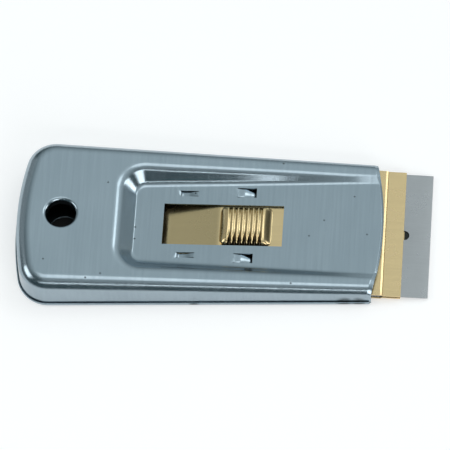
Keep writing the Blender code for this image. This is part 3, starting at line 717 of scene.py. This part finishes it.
def add_tab(bm, start, length, width, drop, bend):
    """Strip cut free along both sides and bent down; returns the hole that it leaves in the panel."""
    ys = (TAB_INNER, TAB_INNER + TAB_KERF, TAB_INNER + width - TAB_KERF, TAB_INNER + width)
    rejoins = bend[-1][1] == 0
    reach = length if rejoins else length - TAB_KERF
    columns = 1 if rejoins else TAB_COLUMNS
    curve = smooth_table(bend, SLOPE_SAMPLES, False)
    strip = []
    for i in range(TAB_STEPS + 1):
        share = i / TAB_STEPS
        height = PANEL_HEIGHT - drop * ramp(curve, share)
        row = []
        for k in range(columns + 1):
            across = k / columns
            crown = 0.0 if rejoins else TAB_CROWN * math.sin(math.pi * share / 2) * (2 * across - 1) ** 2
            row.append((start + reach * share, lerp(ys[1], ys[2], across), height - crown))
        strip.append(row)
    add_strip(bm, strip)
    seam = [lerp(ys[1], ys[2], k / columns) for k in range(columns + 1)]
    rear = [ys[0]] + seam + [ys[3]]
    front = [ys[3]] + (seam[::-1] if rejoins else []) + [ys[0]]
    edge = [(start, y) for y in rear] + [(start + length, y) for y in front]
    return [(x, y, PANEL_HEIGHT) for x, y in edge]


def make_upper_shell():
    """Walls, top, lip, recess, panel, tabs and hole as a half skin, mirrored and thickened."""
    bm = bmesh.new()
    body = [(station, 0.0) for station in rear_stations() + side_stations()]
    lip = [(front_station(setback), drop) for setback, drop in lip_stations()]
    walls = [wall_column(place, drop) for place, drop in body + lip]
    recess = recess_columns()
    hole = hole_columns()
    lip_rows = len(lip)
    add_strip(bm, walls)
    add_strip(bm, recess)
    add_strip(bm, hole)
    crown = [column[-1] for column in walls]
    opening = [column[0] for column in recess]
    add_strip(bm, [list(pair) for pair in zip(crown[-lip_rows:], opening[-lip_rows:])])
    land = crown[: len(body) + 1] + opening[: 1 - lip_rows][::-1] + [column[0] for column in hole]
    land = [point for i, point in enumerate(land) if point != land[i - 1]]
    bm.faces.new([bm.verts.new(point) for point in land])
    rows = [floor_row(setback, drop) for setback, drop in lip_stations()]
    add_strip(bm, rows)
    floor = [column[-1] for column in recess][: 1 - lip_rows] + rows[0][1:]
    half = WINDOW_WIDTH / 2
    window = ((WINDOW_FRONT, 0.0), (WINDOW_FRONT, half), (WINDOW_REAR, half), (WINDOW_REAR, 0.0))
    floor += [(x, y, PANEL_HEIGHT) for x, y in window]
    rear_tab = (REAR_TAB_START, REAR_TAB_LENGTH, REAR_TAB_WIDTH, REAR_TAB_DROP, REAR_TAB_BEND)
    front_tab = (FRONT_TAB_START, FRONT_TAB_LENGTH, FRONT_TAB_WIDTH, FRONT_TAB_DROP, FRONT_TAB_BEND)
    fill_flat(bm, [floor, add_tab(bm, *rear_tab), add_tab(bm, *front_tab)])
    join_skin(bm, 1)
    piece = add_piece("casing_top", bm, CASING_PLACE, "casing", "upper_shell")
    lip_verts = [vert.index for vert in piece.data.vertices if vert.co.x > LIP_START]
    piece.vertex_groups.new(name="lip").add(lip_verts, 1.0, "REPLACE")
    make_shell_of(piece, STEEL)
    round_edges(piece, EDGE_ROUND)
    return piece


# Lower shell

def rim_column(place):
    column = []
    for i in range(ROLL_STEPS + 1):
        turn = math.pi / 2 * i / ROLL_STEPS
        inset = RIM_BEND * (1 - math.sin(turn))
        column.append((*place(inset), RIM_BEND * (1 - math.cos(turn))))
    column.append((*place(0.0), RIM_HEIGHT))
    return column


def make_lower_shell():
    """Base plate with its upturned rim as a half skin, mirrored and thickened."""
    bm = bmesh.new()
    stations = rear_stations() + side_stations() + [front_station(LOWER_SETBACK)]
    rim = [rim_column(place) for place in stations]
    add_strip(bm, rim)
    plate = [column[0] for column in rim]
    end = plate[-1]
    for i in range(1, FLOOR_STEPS + 1):
        y = end[1] * (1 - i / FLOOR_STEPS)
        plate.append((front_edge(y) - LOWER_SETBACK, y, 0.0))
    plate += [(x, y, 0.0) for x, y in half_ring(HOLE_RADIUS)]
    bm.faces.new([bm.verts.new(point) for point in plate])
    join_skin(bm, -1)
    piece = add_piece("casing_base", bm, CASING_PLACE, "casing", "lower_shell")
    make_shell_of(piece, HEM)
    round_edges(piece, HEM_ROUND, HEM_STEPS)
    return piece


# Upper leaf

def add_sheet(bm, columns):
    """Closed sheet from columns of points with their upper and lower heights."""
    tops = [[bm.verts.new((x, y, top)) for x, y, top, bottom in column] for column in columns]
    under = {}
    for column, verts in zip(columns, tops):
        for (x, y, top, bottom), vert in zip(column, verts):
            under[vert] = bm.verts.new((x, y, bottom))
    for left, right in zip(tops, tops[1:]):
        skip = (len(right) - len(left)) // 2
        near = left[max(0, -skip):len(left) - max(0, -skip)]
        far = right[max(0, skip):len(right) - max(0, skip)]
        for i in range(len(near) - 1):
            corners = (near[i], far[i], far[i + 1], near[i + 1])
            bm.faces.new(corners)
            bm.faces.new([under[vert] for vert in reversed(corners)])
    for edge in [edge for edge in bm.edges if edge.is_boundary and edge.verts[0] in under]:
        a, b = edge.verts
        bm.faces.new((a, b, under[b], under[a]))
    bmesh.ops.recalc_face_normals(bm, faces=bm.faces)


def leaf_profile():
    """Top of the plain upper leaf along the carriage: foot, bowed tail, flat, jaw and lip."""
    foot = STEEL + JAW_GAP + BRASS
    start = (RIDGE - RAMP_REAR) * math.cos(PITCH)
    step = start + RAMP_RUN
    edge = LIP_EDGE * math.cos(PITCH)
    fall = math.tan(PITCH)
    points = [
        (TAIL_TIP, foot + TAIL_LIFT),
        (TAIL_FOOT, foot),
        (REAR_BEND, FLAT_HEIGHT),
        (FRONT_BEND, FLAT_HEIGHT),
    ]
    for i in range(BEND_STEPS + 1):
        share = i / BEND_STEPS
        along = lerp(start, step, share)
        sunk = RAMP_FALL * rolled_fall(share, RAMP_ROLL)
        points.append((FRONT_BEND + along, FLAT_HEIGHT - along * fall - sunk))
    step += (JOGGLE - RAMP_FALL) / math.tan(RAMP_STEEP)
    points.append((FRONT_BEND + step, FLAT_HEIGHT - step * fall - JOGGLE))
    points.append((FRONT_BEND + edge, FLAT_HEIGHT - edge * fall - JOGGLE))
    return points


# Thumb grip

REAR_CURVE = smooth_table(REAR_SLOPE, SLOPE_SAMPLES)
FRONT_CURVE = smooth_table(FRONT_SLOPE, SLOPE_SAMPLES)
SIDE_CURVE = smooth_table(SIDE_SLOPE, SLOPE_SAMPLES)
FLARE_CURVE = smooth_table(FLARE_SLOPE, SLOPE_SAMPLES)


def grip_share(x, inside, margin):
    """Height share of the plain grip: its end and side slopes meet in rounded hips."""
    behind = x + GRIP_LENGTH / 2 + REAR_FOOT - margin
    ahead = GRIP_LENGTH / 2 - margin - x
    end = min(ramp(REAR_CURVE, behind), ramp(FRONT_CURVE, ahead))
    side = ramp(SIDE_CURVE, inside - margin)
    near = max(0.0, GRIP_HIP - abs(end - side))
    return max(0.0, min(end, side) - near**2 / (4 * GRIP_HIP)) / (1 - GRIP_HIP / 4)


def grip_rib(x):
    """Depth share below the crests: each rib falls gently forward and rises steeply to the next."""
    along = x + GRIP_LENGTH / 2 - FIRST_RIB
    if not 0 < along < RIBBED_LENGTH:
        return 0.0
    share = along / RIB_PITCH % 1
    turn = share / RIB_FALL if share < RIB_FALL else (1 - share) / (1 - RIB_FALL)
    return 0.5 - 0.5 * math.cos(math.pi * turn)


def grip_half(x):
    """Half width of the grip's outline, with its rounded corners."""
    inside = min(GRIP_LENGTH / 2 + REAR_FOOT + x, GRIP_LENGTH / 2 - x)
    straight = GRIP_WIDTH / 2 - GRIP_CORNER
    if inside <= 0:
        return straight
    bend = min(inside, GRIP_CORNER)
    return straight + math.sqrt(GRIP_CORNER**2 - (GRIP_CORNER - bend) ** 2)


def grip_places():
    rear = -GRIP_LENGTH / 2
    foot = rear - REAR_FOOT
    places = {foot + REAR_SLOPE[-1][0] * i / SLOPE_SAMPLES for i in range(SLOPE_SAMPLES + 1)}
    places |= {-rear - FRONT_SLOPE[-1][0] * i / SLOPE_SAMPLES for i in range(SLOPE_SAMPLES + 1)}
    for i in range((RIB_COUNT - 1) * RIB_SAMPLES + 1):
        places.add(rear + FIRST_RIB + RIB_PITCH * i / RIB_SAMPLES)
    return places


def grip_sides():
    """Shares of the grip's half width, from its side in, at which it is sampled, closest at the foot."""
    return [(i / SIDE_SAMPLES) ** 2 for i in range(SIDE_SAMPLES)]


def leaf_column(x):
    half = grip_half(x)
    top = ramp(leaf_profile(), x)
    ys = [half * (1 - share) for share in grip_sides()]
    column = []
    for y in [-value for value in ys] + [0.0] + ys[::-1]:
        inside = half - abs(y)
        crest = GRIP_RISE * grip_share(x, inside, 0.0)
        depth = grip_rib(x) * (RIB_DEPTH + RIB_FLARE * ramp(FLARE_CURVE, inside))
        rise = crest - min(depth, RIB_LIMIT * crest)
        hollow = grip_share(x, inside, BRASS) * (GRIP_RISE - RIB_DEPTH - RIB_FLARE)
        column.append((x, y, top + rise, top - BRASS + hollow))
    return column


def widened(column, half):
    x, y, top, bottom = column[0]
    return [(x, -half, top, bottom)] + column + [(x, half, top, bottom)]


def make_upper_leaf():
    places = spaced(sorted({place for place, height in leaf_profile()} | grip_places()))
    stem = [x for x in places if x < SHOULDER] + [SHOULDER]
    head = [SHOULDER] + [x for x in places if x > SHOULDER]
    columns = [widened(leaf_column(x), STEM_WIDTH / 2) for x in stem]
    columns += [widened(widened(leaf_column(x), STEM_WIDTH / 2), HEAD_WIDTH / 2) for x in head]
    bm = bmesh.new()
    add_sheet(bm, columns)
    bmesh.ops.remove_doubles(bm, verts=bm.verts, dist=WELD)
    bmesh.ops.dissolve_limit(bm, angle_limit=FLAT_ANGLE, verts=bm.verts, edges=bm.edges)
    node = "carriage_upper_leaf"
    piece = add_piece("brass_leaf", bm, CARRIAGE_PLACE, "carriage", node)
    round_edges(piece, EDGE_ROUND)
    return piece


# Lower leaf, blade and rivets

def make_lower_leaf():
    """Lower jaw with its pocket, and a narrow tongue on its lip that backs the blade's hole."""
    under = -BRASS - JAW_GAP
    pocket = LOWER_LIP_TOP - JOGGLE
    profile = (
        (LOWER_LEAF_START, under),
        (POCKET_REAR - (under - pocket), under),
        (POCKET_REAR, pocket),
        (RIDGE, pocket),
        (RIDGE + JOGGLE_RUN, LOWER_LIP_TOP),
        (LIP_EDGE, LOWER_LIP_TOP),
        (TONGUE_EDGE, LOWER_LIP_TOP),
    )
    sides = (-TONGUE_HALF, TONGUE_HALF)
    columns = [[(along, y, top, top - BRASS) for y in sides] for along, top in profile]
    columns[:-1] = [widened(column, HEAD_WIDTH / 2) for column in columns[:-1]]
    bm = bmesh.new()
    add_sheet(bm, columns)
    node = "carriage_lower_leaf"
    piece = add_piece("brass_lower_jaw", bm, JAW_PLACE, "carriage", node)
    round_edges(piece, EDGE_ROUND)
    return piece


def round_place(x, y, radius, step):
    angle = 2 * math.pi * step / ROUND_SIDES
    return x + radius * math.cos(angle), y + radius * math.sin(angle)


def make_blade():
    rear = JAW_REACH - BLADE_DEPTH + BACK_SHEET + JAW_GAP
    front = JAW_REACH - BLADE_BEVEL
    middle = BLADE_TOP - BLADE_SHEET / 2
    hole_x = JAW_REACH - BLADE_HOLE_SETBACK
    half = BLADE_LENGTH / 2
    loop = ((rear, -half), (front, -half), (front, half), (rear, half))
    ring = [round_place(hole_x, 0.0, BLADE_HOLE_RADIUS, i) for i in range(ROUND_SIDES)]
    bm = bmesh.new()
    flats = []
    for height in (BLADE_TOP, BLADE_TOP - BLADE_SHEET):
        flat = [[(x, y, height) for x, y in points] for points in (loop, ring)]
        fill_flat(bm, flat)
        flats.append(flat)
    (top_loop, top_ring), (low_loop, low_ring) = flats
    add_strip(bm, [list(pair) for pair in zip(top_ring + top_ring[:1], low_ring + low_ring[:1])])
    edge = [(JAW_REACH, y, middle + side * BLADE_EDGE / 2) for side in (1, -1) for y in (-half, half)]
    rim = [top_loop[1], edge[0], edge[2], low_loop[1]]
    far = [top_loop[2], edge[1], edge[3], low_loop[2]]
    add_strip(bm, [rim, far])
    add_strip(bm, [[top_loop[3], low_loop[3]], [top_loop[0], low_loop[0]]])
    for outline, corner in ((rim, 0), (far, 3)):
        end = [top_loop[corner]] + outline + [low_loop[corner]]
        bm.faces.new([bm.verts.new(point) for point in end])
    join_faces(bm)
    piece = add_piece("blade", bm, JAW_PLACE, "carriage", "razor_blade")
    piece.data.set_sharp_from_angle(angle=BLADE_SHARP)
    return piece


def make_blade_back():
    """Folded strip on the blade's rear edge: its outline seen from the side, carried across."""
    rear = JAW_REACH - BLADE_DEPTH
    front = rear + BACK_DEPTH
    inner_top = BLADE_TOP + JAW_GAP
    inner_bottom = BLADE_TOP - BLADE_SHEET - JAW_GAP
    outline = (
        (front, inner_top + BACK_SHEET),
        (rear, inner_top + BACK_SHEET),
        (rear, inner_bottom - BACK_SHEET),
        (front, inner_bottom - BACK_SHEET),
        (front, inner_bottom),
        (rear + BACK_SHEET, inner_bottom),
        (rear + BACK_SHEET, inner_top),
        (front, inner_top),
    )
    bm = bmesh.new()
    ends = []
    for y in (-BLADE_LENGTH / 2, BLADE_LENGTH / 2):
        ends.append([bm.verts.new((along, y, height)) for along, height in outline])
    for i in range(len(outline)):
        bm.faces.new((ends[0][i - 1], ends[0][i], ends[1][i], ends[1][i - 1]))
    for end in ends:
        bm.faces.new(end)
    bmesh.ops.recalc_face_normals(bm, faces=bm.faces)
    piece = add_piece("blade_spine", bm, JAW_PLACE, "carriage", "blade_back")
    round_edges(piece, EDGE_ROUND / 2)
    return piece


def make_rivet(side, y):
    upper = JAW_GAP
    lower = -2 * BRASS - 2 * JAW_GAP
    profile = (
        (RIVET_CROWN_RADIUS, upper + RIVET_HEAD),
        (RIVET_HEAD_RADIUS, upper + RIVET_HEAD / 2),
        (RIVET_HEAD_RADIUS, upper),
        (RIVET_RADIUS, upper),
        (RIVET_RADIUS, lower),
        (RIVET_HEAD_RADIUS, lower),
        (RIVET_HEAD_RADIUS, lower - RIVET_HEAD / 2),
        (RIVET_CROWN_RADIUS, lower - RIVET_HEAD),
    )
    columns = []
    for i in range(ROUND_SIDES + 1):
        columns.append([(*round_place(RIVET_REACH, y, radius, i), height) for radius, height in profile])
    bm = bmesh.new()
    add_strip(bm, columns)
    for row in (0, -1):
        bm.faces.new([bm.verts.new(column[row]) for column in columns[:-1]])
    join_faces(bm)
    node = "carriage_rivet_" + side
    piece = add_piece("rivet_" + side, bm, JAW_PLACE, "carriage", node)
    piece.data.set_sharp_from_angle(angle=RIVET_SHARP)
    return piece


# Shader nodes

def add_node(tree, kind, inputs, settings=None):
    """A shader node with its settings, and its inputs linked or set by name."""
    node = tree.nodes.new("ShaderNode" + kind)
    for key, value in (settings or {}).items():
        setattr(node, key, value)
    for key, value in inputs.items():
        if isinstance(value, bpy.types.NodeSocket):
            tree.links.new(value, node.inputs[key])
        else:
            node.inputs[key].default_value = value
    return node


def object_place(tree):
    return add_node(tree, "TexCoord", {}).outputs["Object"]


def parts_of(tree, vector):
    return add_node(tree, "SeparateXYZ", {"Vector": vector}).outputs


def grain(tree, sizes, detail=LINE_DETAIL):
    """Noise whose cells have the given lengths along X, Y and Z."""
    scale = [1 / size for size in sizes]
    scaled = add_node(tree, "Mapping", {"Vector": object_place(tree), "Scale": scale}).outputs["Vector"]
    return add_node(tree, "TexNoise", {"Vector": scaled, "Scale": 1.0, "Detail": detail}).outputs["Fac"]


def spread(tree, value, source, target=(0.0, 1.0)):
    """Value carried from one range to another."""
    inputs = {"Value": value, "From Min": source[0], "From Max": source[1]}
    inputs.update({"To Min": target[0], "To Max": target[1]})
    return add_node(tree, "MapRange", inputs).outputs["Result"]


def math_of(tree, operation, first, second):
    return add_node(tree, "Math", {0: first, 1: second}, {"operation": operation}).outputs["Value"]


def vector_math(tree, operation, first, second):
    node = add_node(tree, "VectorMath", {0: first, 1: second}, {"operation": operation})
    return node.outputs["Value"]


def absolute(tree, value):
    return math_of(tree, "ABSOLUTE", value, 0.0)


def product(tree, first, second):
    return math_of(tree, "MULTIPLY", first, second)


def offset(tree, value, middle):
    """Distance from a middle place, either way."""
    return absolute(tree, math_of(tree, "SUBTRACT", value, middle))


def blend(tree, share, first, second):
    """Colour between two colours or sockets by a share."""
    node = add_node(tree, "Mix", {"Factor": share}, {"data_type": "RGBA"})
    colours = [socket for socket in node.inputs if socket.type == "RGBA"]
    for socket, value in zip(colours, (first, second)):
        if isinstance(value, bpy.types.NodeSocket):
            tree.links.new(value, socket)
        else:
            socket.default_value = (*value, 1.0)
    return next(socket for socket in node.outputs if socket.type == "RGBA")


def heights(tree, parts):
    """Sum of noises, each scaled to its height in metres."""
    total = None
    for noise, height in parts:
        scaled = product(tree, noise, height)
        total = scaled if total is None else math_of(tree, "ADD", total, scaled)
    return total


# Surfaces

def new_metal(name):
    material = bpy.data.materials.new(name)
    material.use_nodes = True
    shader = material.node_tree.nodes["Principled BSDF"]
    shader.inputs["Metallic"].default_value = 1.0
    return material, material.node_tree, shader


def finish_metal(tree, shader, colour, roughness, height):
    bump = add_node(tree, "Bump", {"Strength": 1.0, "Distance": 1.0, "Height": height})
    tree.links.new(colour, shader.inputs["Base Color"])
    tree.links.new(roughness, shader.inputs["Roughness"])
    tree.links.new(bump.outputs["Normal"], shader.inputs["Normal"])


def levelness(tree):
    """How level the surface lies: 1 on level faces, 0 on upright walls."""
    normal = add_node(tree, "NewGeometry", {}).outputs["Normal"]
    return absolute(tree, parts_of(tree, normal)["Z"])


def pits(tree):
    """Sparse small dark pits on the level faces: 1 in a pit, 0 outside."""
    inputs = {"Vector": object_place(tree), "Scale": 1 / PIT_SPACING}
    cells = add_node(tree, "TexVoronoi", inputs, {"voronoi_dimensions": "2D"})
    rim = PIT_RADIUS / PIT_SPACING
    pit = spread(tree, cells.outputs["Distance"], (rim, rim / 2))
    chosen = add_node(tree, "SeparateColor", {"Color": cells.outputs["Color"]}).outputs["Red"]
    some = product(tree, pit, math_of(tree, "LESS_THAN", chosen, PIT_SHARE))
    return product(tree, some, spread(tree, levelness(tree), PIT_LEVELS))


def crimp_shade(tree):
    """Ragged painted shade in the crimp dents on the walls where the rim is punched in: 1 in the shade, 0
    outside.
    """
    place = object_place(tree)
    ragged = product(tree, grain(tree, CRIMP_SHADE_GRAIN, CLOUD_DETAIL), CRIMP_SHADE_RAGGED)
    spot_shades = None
    for along, half_length, above, half_height in CRIMP_SHADE_SPOTS:
        scale = (1 / half_length, 0.0, 1 / half_height)
        shift = (-(REAR_END + along) / half_length, 0.0, -(RIM_HEIGHT + above) / half_height)
        moved = add_node(tree, "Mapping", {"Vector": place, "Location": shift, "Scale": scale})
        away = vector_math(tree, "LENGTH", moved.outputs["Vector"], (0.0, 0.0, 0.0))
        spot_shade = spread(tree, math_of(tree, "ADD", away, ragged), CRIMP_SHADE_FADE)
        spot_shades = spot_shade if spot_shades is None else math_of(tree, "MAXIMUM", spot_shades, spot_shade)
    return product(tree, spot_shades, spread(tree, levelness(tree), CRIMP_SHADE_LEVELS))


def zinc_finish(name):
    """Bright zinc plate with fine lines across the tool, faint clouds, a few pits and painted shade in
    the crimp dents.
    """
    material, tree, shader = new_metal(name)
    fine = grain(tree, ZINC_FINE)
    broad = grain(tree, ZINC_BROAD)
    cloud = grain(tree, ZINC_CLOUD, CLOUD_DETAIL)
    wave = grain(tree, ZINC_WAVE, WAVE_DETAIL)
    pit = pits(tree)
    lines = math_of(tree, "ADD", product(tree, fine, ZINC_FINE_SHARE), broad)
    worn = math_of(tree, "ADD", lines, cloud)
    colour = blend(tree, spread(tree, worn, ZINC_TONES), ZINC_DARK, ZINC_LIGHT)
    colour = blend(tree, pit, colour, ZINC_PIT)
    # Painted shade in the crimp dents, on the walls only.
    colour = blend(tree, crimp_shade(tree), colour, CRIMP_SHADE)
    roughness = spread(tree, worn, ZINC_TONES, ZINC_ROUGHNESS)
    height = heights(tree, (
        (fine, ZINC_FINE_HEIGHT),
        (broad, ZINC_BROAD_HEIGHT),
        (wave, ZINC_WAVE_HEIGHT),
        (pit, -PIT_DEPTH),
    ))
    finish_metal(tree, shader, colour, roughness, height)
    return material


def groove_shade(tree):
    """Painted shade in the near ends of the grip's grooves and on its front face: 1 where it lies."""
    parts = parts_of(tree, object_place(tree))
    half = GRIP_WIDTH / 2
    first = GRIP_REAR + FIRST_RIB
    bottom = math_of(tree, "SUBTRACT", parts["X"], first + RIB_FALL * RIB_PITCH)
    wave = math_of(tree, "COSINE", product(tree, bottom, 2 * math.pi / RIB_PITCH), 0.0)
    near_end = spread(tree, parts["Y"], (GROOVE_SHADE_REACH - half, -half), GROOVE_SHADE_BIAS)
    shade_share = spread(tree, math_of(tree, "ADD", wave, near_end), GROOVE_SHADE_FADE)
    reach = RIBBED_LENGTH / 2
    off = offset(tree, parts["X"], first + reach)
    shade_share = product(tree, shade_share, spread(tree, off, (reach, reach - GROOVE_SHADE_END)))
    off = offset(tree, parts["X"], GRIP_FRONT - FACE_SETBACK)
    face = spread(tree, off, FACE_RUN, (0.0, FACE_SHADE))
    inside = spread(tree, absolute(tree, parts["Y"]), [half - inset for inset in FACE_INSET])
    return math_of(tree, "MAXIMUM", shade_share, product(tree, face, inside))


def brass_finish(name, shade_start=None):
    """Pale brass with fine lines along the slide, darker by painted shade behind the grip and on the
    grip; painted black shade past a given place.
    """
    material, tree, shader = new_metal(name)
    fine = grain(tree, BRASS_FINE)
    broad = grain(tree, BRASS_BROAD)
    cloud = grain(tree, BRASS_CLOUD, CLOUD_DETAIL)
    along = parts_of(tree, object_place(tree))["X"]
    lines = math_of(tree, "ADD", product(tree, fine, BRASS_FINE_SHARE), broad)
    tone = spread(tree, math_of(tree, "ADD", lines, cloud), BRASS_TONES)
    colour = blend(tree, tone, BRASS_DARK, BRASS_LIGHT)
    tail = GRIP_REAR - REAR_FOOT
    # Painted shade: the tail behind the grip, which lies under the casing, is darkened.
    tail_shade = spread(tree, along, (tail - TAIL_SHADE_FADE, tail), (TAIL_SHADE_SHARE, 0.0))
    colour = blend(tree, tail_shade, colour, BRASS_TAIL_SHADE)
    # Painted shade in the near ends of the grip's grooves and on its front face.
    colour = blend(tree, groove_shade(tree), colour, GROOVE_SHADE)
    # Painted black shade on the lower jaw past the given place, under the blade's hole.
    if shade_start is not None:
        jaw_shade = spread(tree, along, [shade_start + fade for fade in JAW_SHADE_FADE])
        colour = blend(tree, jaw_shade, colour, JAW_SHADE)
    roughness = spread(tree, cloud, CLOUD_TONES, BRASS_ROUGHNESS)
    height = heights(tree, ((fine, BRASS_FINE_HEIGHT), (broad, BRASS_BROAD_HEIGHT)))
    finish_metal(tree, shader, colour, roughness, height)
    return material


def blade_finish(name):
    """Ground blade steel with faint lines towards the edge."""
    material, tree, shader = new_metal(name)
    fine = grain(tree, GROUND_FINE)
    cloud = grain(tree, GROUND_CLOUD, CLOUD_DETAIL)
    tone = spread(tree, math_of(tree, "ADD", fine, cloud), GROUND_TONES)
    colour = blend(tree, tone, GROUND_DARK, GROUND_LIGHT)
    roughness = spread(tree, cloud, CLOUD_TONES, GROUND_ROUGHNESS)
    finish_metal(tree, shader, colour, roughness, product(tree, fine, GROUND_HEIGHT))
    return material


# Floor, light and camera

def floor_finish():
    """White floor that takes shadows, with a little even glow where it is seen or mirrored, and a spot of
    painted shade under the hanging hole.
    """
    material = bpy.data.materials.new("floor")
    material.use_nodes = True
    tree = material.node_tree
    shader = tree.nodes["Principled BSDF"]
    # Painted shade: a dark spot under the hanging hole, where the glow is also off.
    away = vector_math(tree, "DISTANCE", object_place(tree), SHADE_PLACE)
    open_floor = spread(tree, away, (SHADE_RADIUS, SHADE_FADE * SHADE_RADIUS))
    speck = [FLOOR_SPECK * part for part in FLOOR_COLOUR]
    colour = blend(tree, grain(tree, FLOOR_GRAIN), FLOOR_COLOUR, speck)
    tree.links.new(blend(tree, open_floor, SHADE_COLOUR, colour), shader.inputs["Base Color"])
    shader.inputs["Roughness"].default_value = FLOOR_ROUGHNESS
    path = add_node(tree, "LightPath", {}).outputs
    seen = math_of(tree, "MAXIMUM", path["Is Camera Ray"], path["Is Glossy Ray"])
    seen = math_of(tree, "MAXIMUM", seen, path["Is Transmission Ray"])
    glow = product(tree, product(tree, seen, open_floor), FLOOR_GLOW)
    shader.inputs["Emission Color"].default_value = (1.0, 1.0, 1.0, 1.0)
    tree.links.new(glow, shader.inputs["Emission Strength"])
    return material


def add_floor():
    bm = bmesh.new()
    bmesh.ops.create_grid(bm, x_segments=1, y_segments=1, size=FLOOR_HALF)
    mesh = bpy.data.meshes.new("floor")
    bm.to_mesh(mesh)
    bm.free()
    floor = bpy.data.objects.new("floor", mesh)
    floor.location = (0.0, 0.0, -FLOOR_SINK)
    bpy.context.scene.collection.objects.link(floor)
    mesh.materials.append(floor_finish())


def add_lamp(name, azimuth, elevation, distance, width, height, level):
    """Rectangular lamp facing the tool; azimuth 0 is ahead of the blade, level is its brightness."""
    turn, lift = math.radians(azimuth), math.radians(elevation)
    towards = Vector((math.cos(turn) * math.cos(lift), math.sin(turn) * math.cos(lift), math.sin(lift)))
    lamp = bpy.data.lights.new(name, "AREA")
    lamp.shape = "RECTANGLE"
    lamp.size = width
    lamp.size_y = height
    lamp.energy = level * math.pi * width * height
    box = bpy.data.objects.new(name, lamp)
    box.location = towards * distance
    box.rotation_euler = towards.to_track_quat("Z", "Y").to_euler()
    bpy.context.scene.collection.objects.link(box)


def add_room():
    """Soft room light: bright overhead and behind the tool, dark low down on the near side."""
    world = bpy.data.worlds.new("studio")
    bpy.context.scene.world = world
    world.use_nodes = True
    tree = world.node_tree
    towards = add_node(tree, "TexCoord", {}).outputs["Generated"]
    bright = spread(tree, vector_math(tree, "DOT_PRODUCT", towards, ROOM_BRIGHT_WAY), ROOM_FADE)
    background = tree.nodes["Background"]
    tree.links.new(blend(tree, bright, ROOM_DARK, ROOM_LIGHT), background.inputs["Color"])
    background.inputs["Strength"].default_value = 1.0


def add_camera():
    lift, turn, roll = CAMERA_ELEVATION, CAMERA_TURN, CAMERA_ROLL
    level = Vector((math.cos(turn), math.sin(turn), 0.0))
    back = Vector((math.cos(lift) * math.sin(turn), -math.cos(lift) * math.cos(turn), math.sin(lift)))
    upright = back.cross(level)
    right = level * math.cos(roll) + upright * math.sin(roll)
    up = upright * math.cos(roll) - level * math.sin(roll)
    data = bpy.data.cameras.new("camera")
    data.sensor_width = CAMERA_SENSOR
    data.lens = CAMERA_LENS
    data.clip_start = CAMERA_NEAR
    data.clip_end = CAMERA_FAR
    camera = bpy.data.objects.new("camera", data)
    place = CAMERA_POINT + right * AIM_RIGHT - up * AIM_DOWN + back * CAMERA_DISTANCE
    camera.matrix_world = Matrix.Translation(place) @ Matrix((right, up, back)).transposed().to_4x4()
    bpy.context.scene.collection.objects.link(camera)
    bpy.context.scene.camera = camera


# Tool and studio

def build_tool():
    brass = brass_finish("brass")
    steel = blade_finish("blade_ground")
    make_upper_shell().data.materials.append(zinc_finish("zinc_top"))
    make_lower_shell().data.materials.append(zinc_finish("zinc_base"))
    make_upper_leaf().data.materials.append(brass)
    # The lower jaw's tongue under the blade's hole is painted black as shade.
    make_lower_leaf().data.materials.append(brass_finish("brass_jaw_shade", JAW_SHADE_START))
    make_rivet("left", RIVET_SPREAD / 2).data.materials.append(brass)
    make_rivet("right", -RIVET_SPREAD / 2).data.materials.append(brass)
    make_blade().data.materials.append(steel)
    make_blade_back().data.materials.append(steel)


build_tool()
add_floor()
for lamp_row in LAMPS:
    add_lamp(*lamp_row)
add_room()
add_camera()

bpy.context.scene.view_settings.view_transform = "Standard"
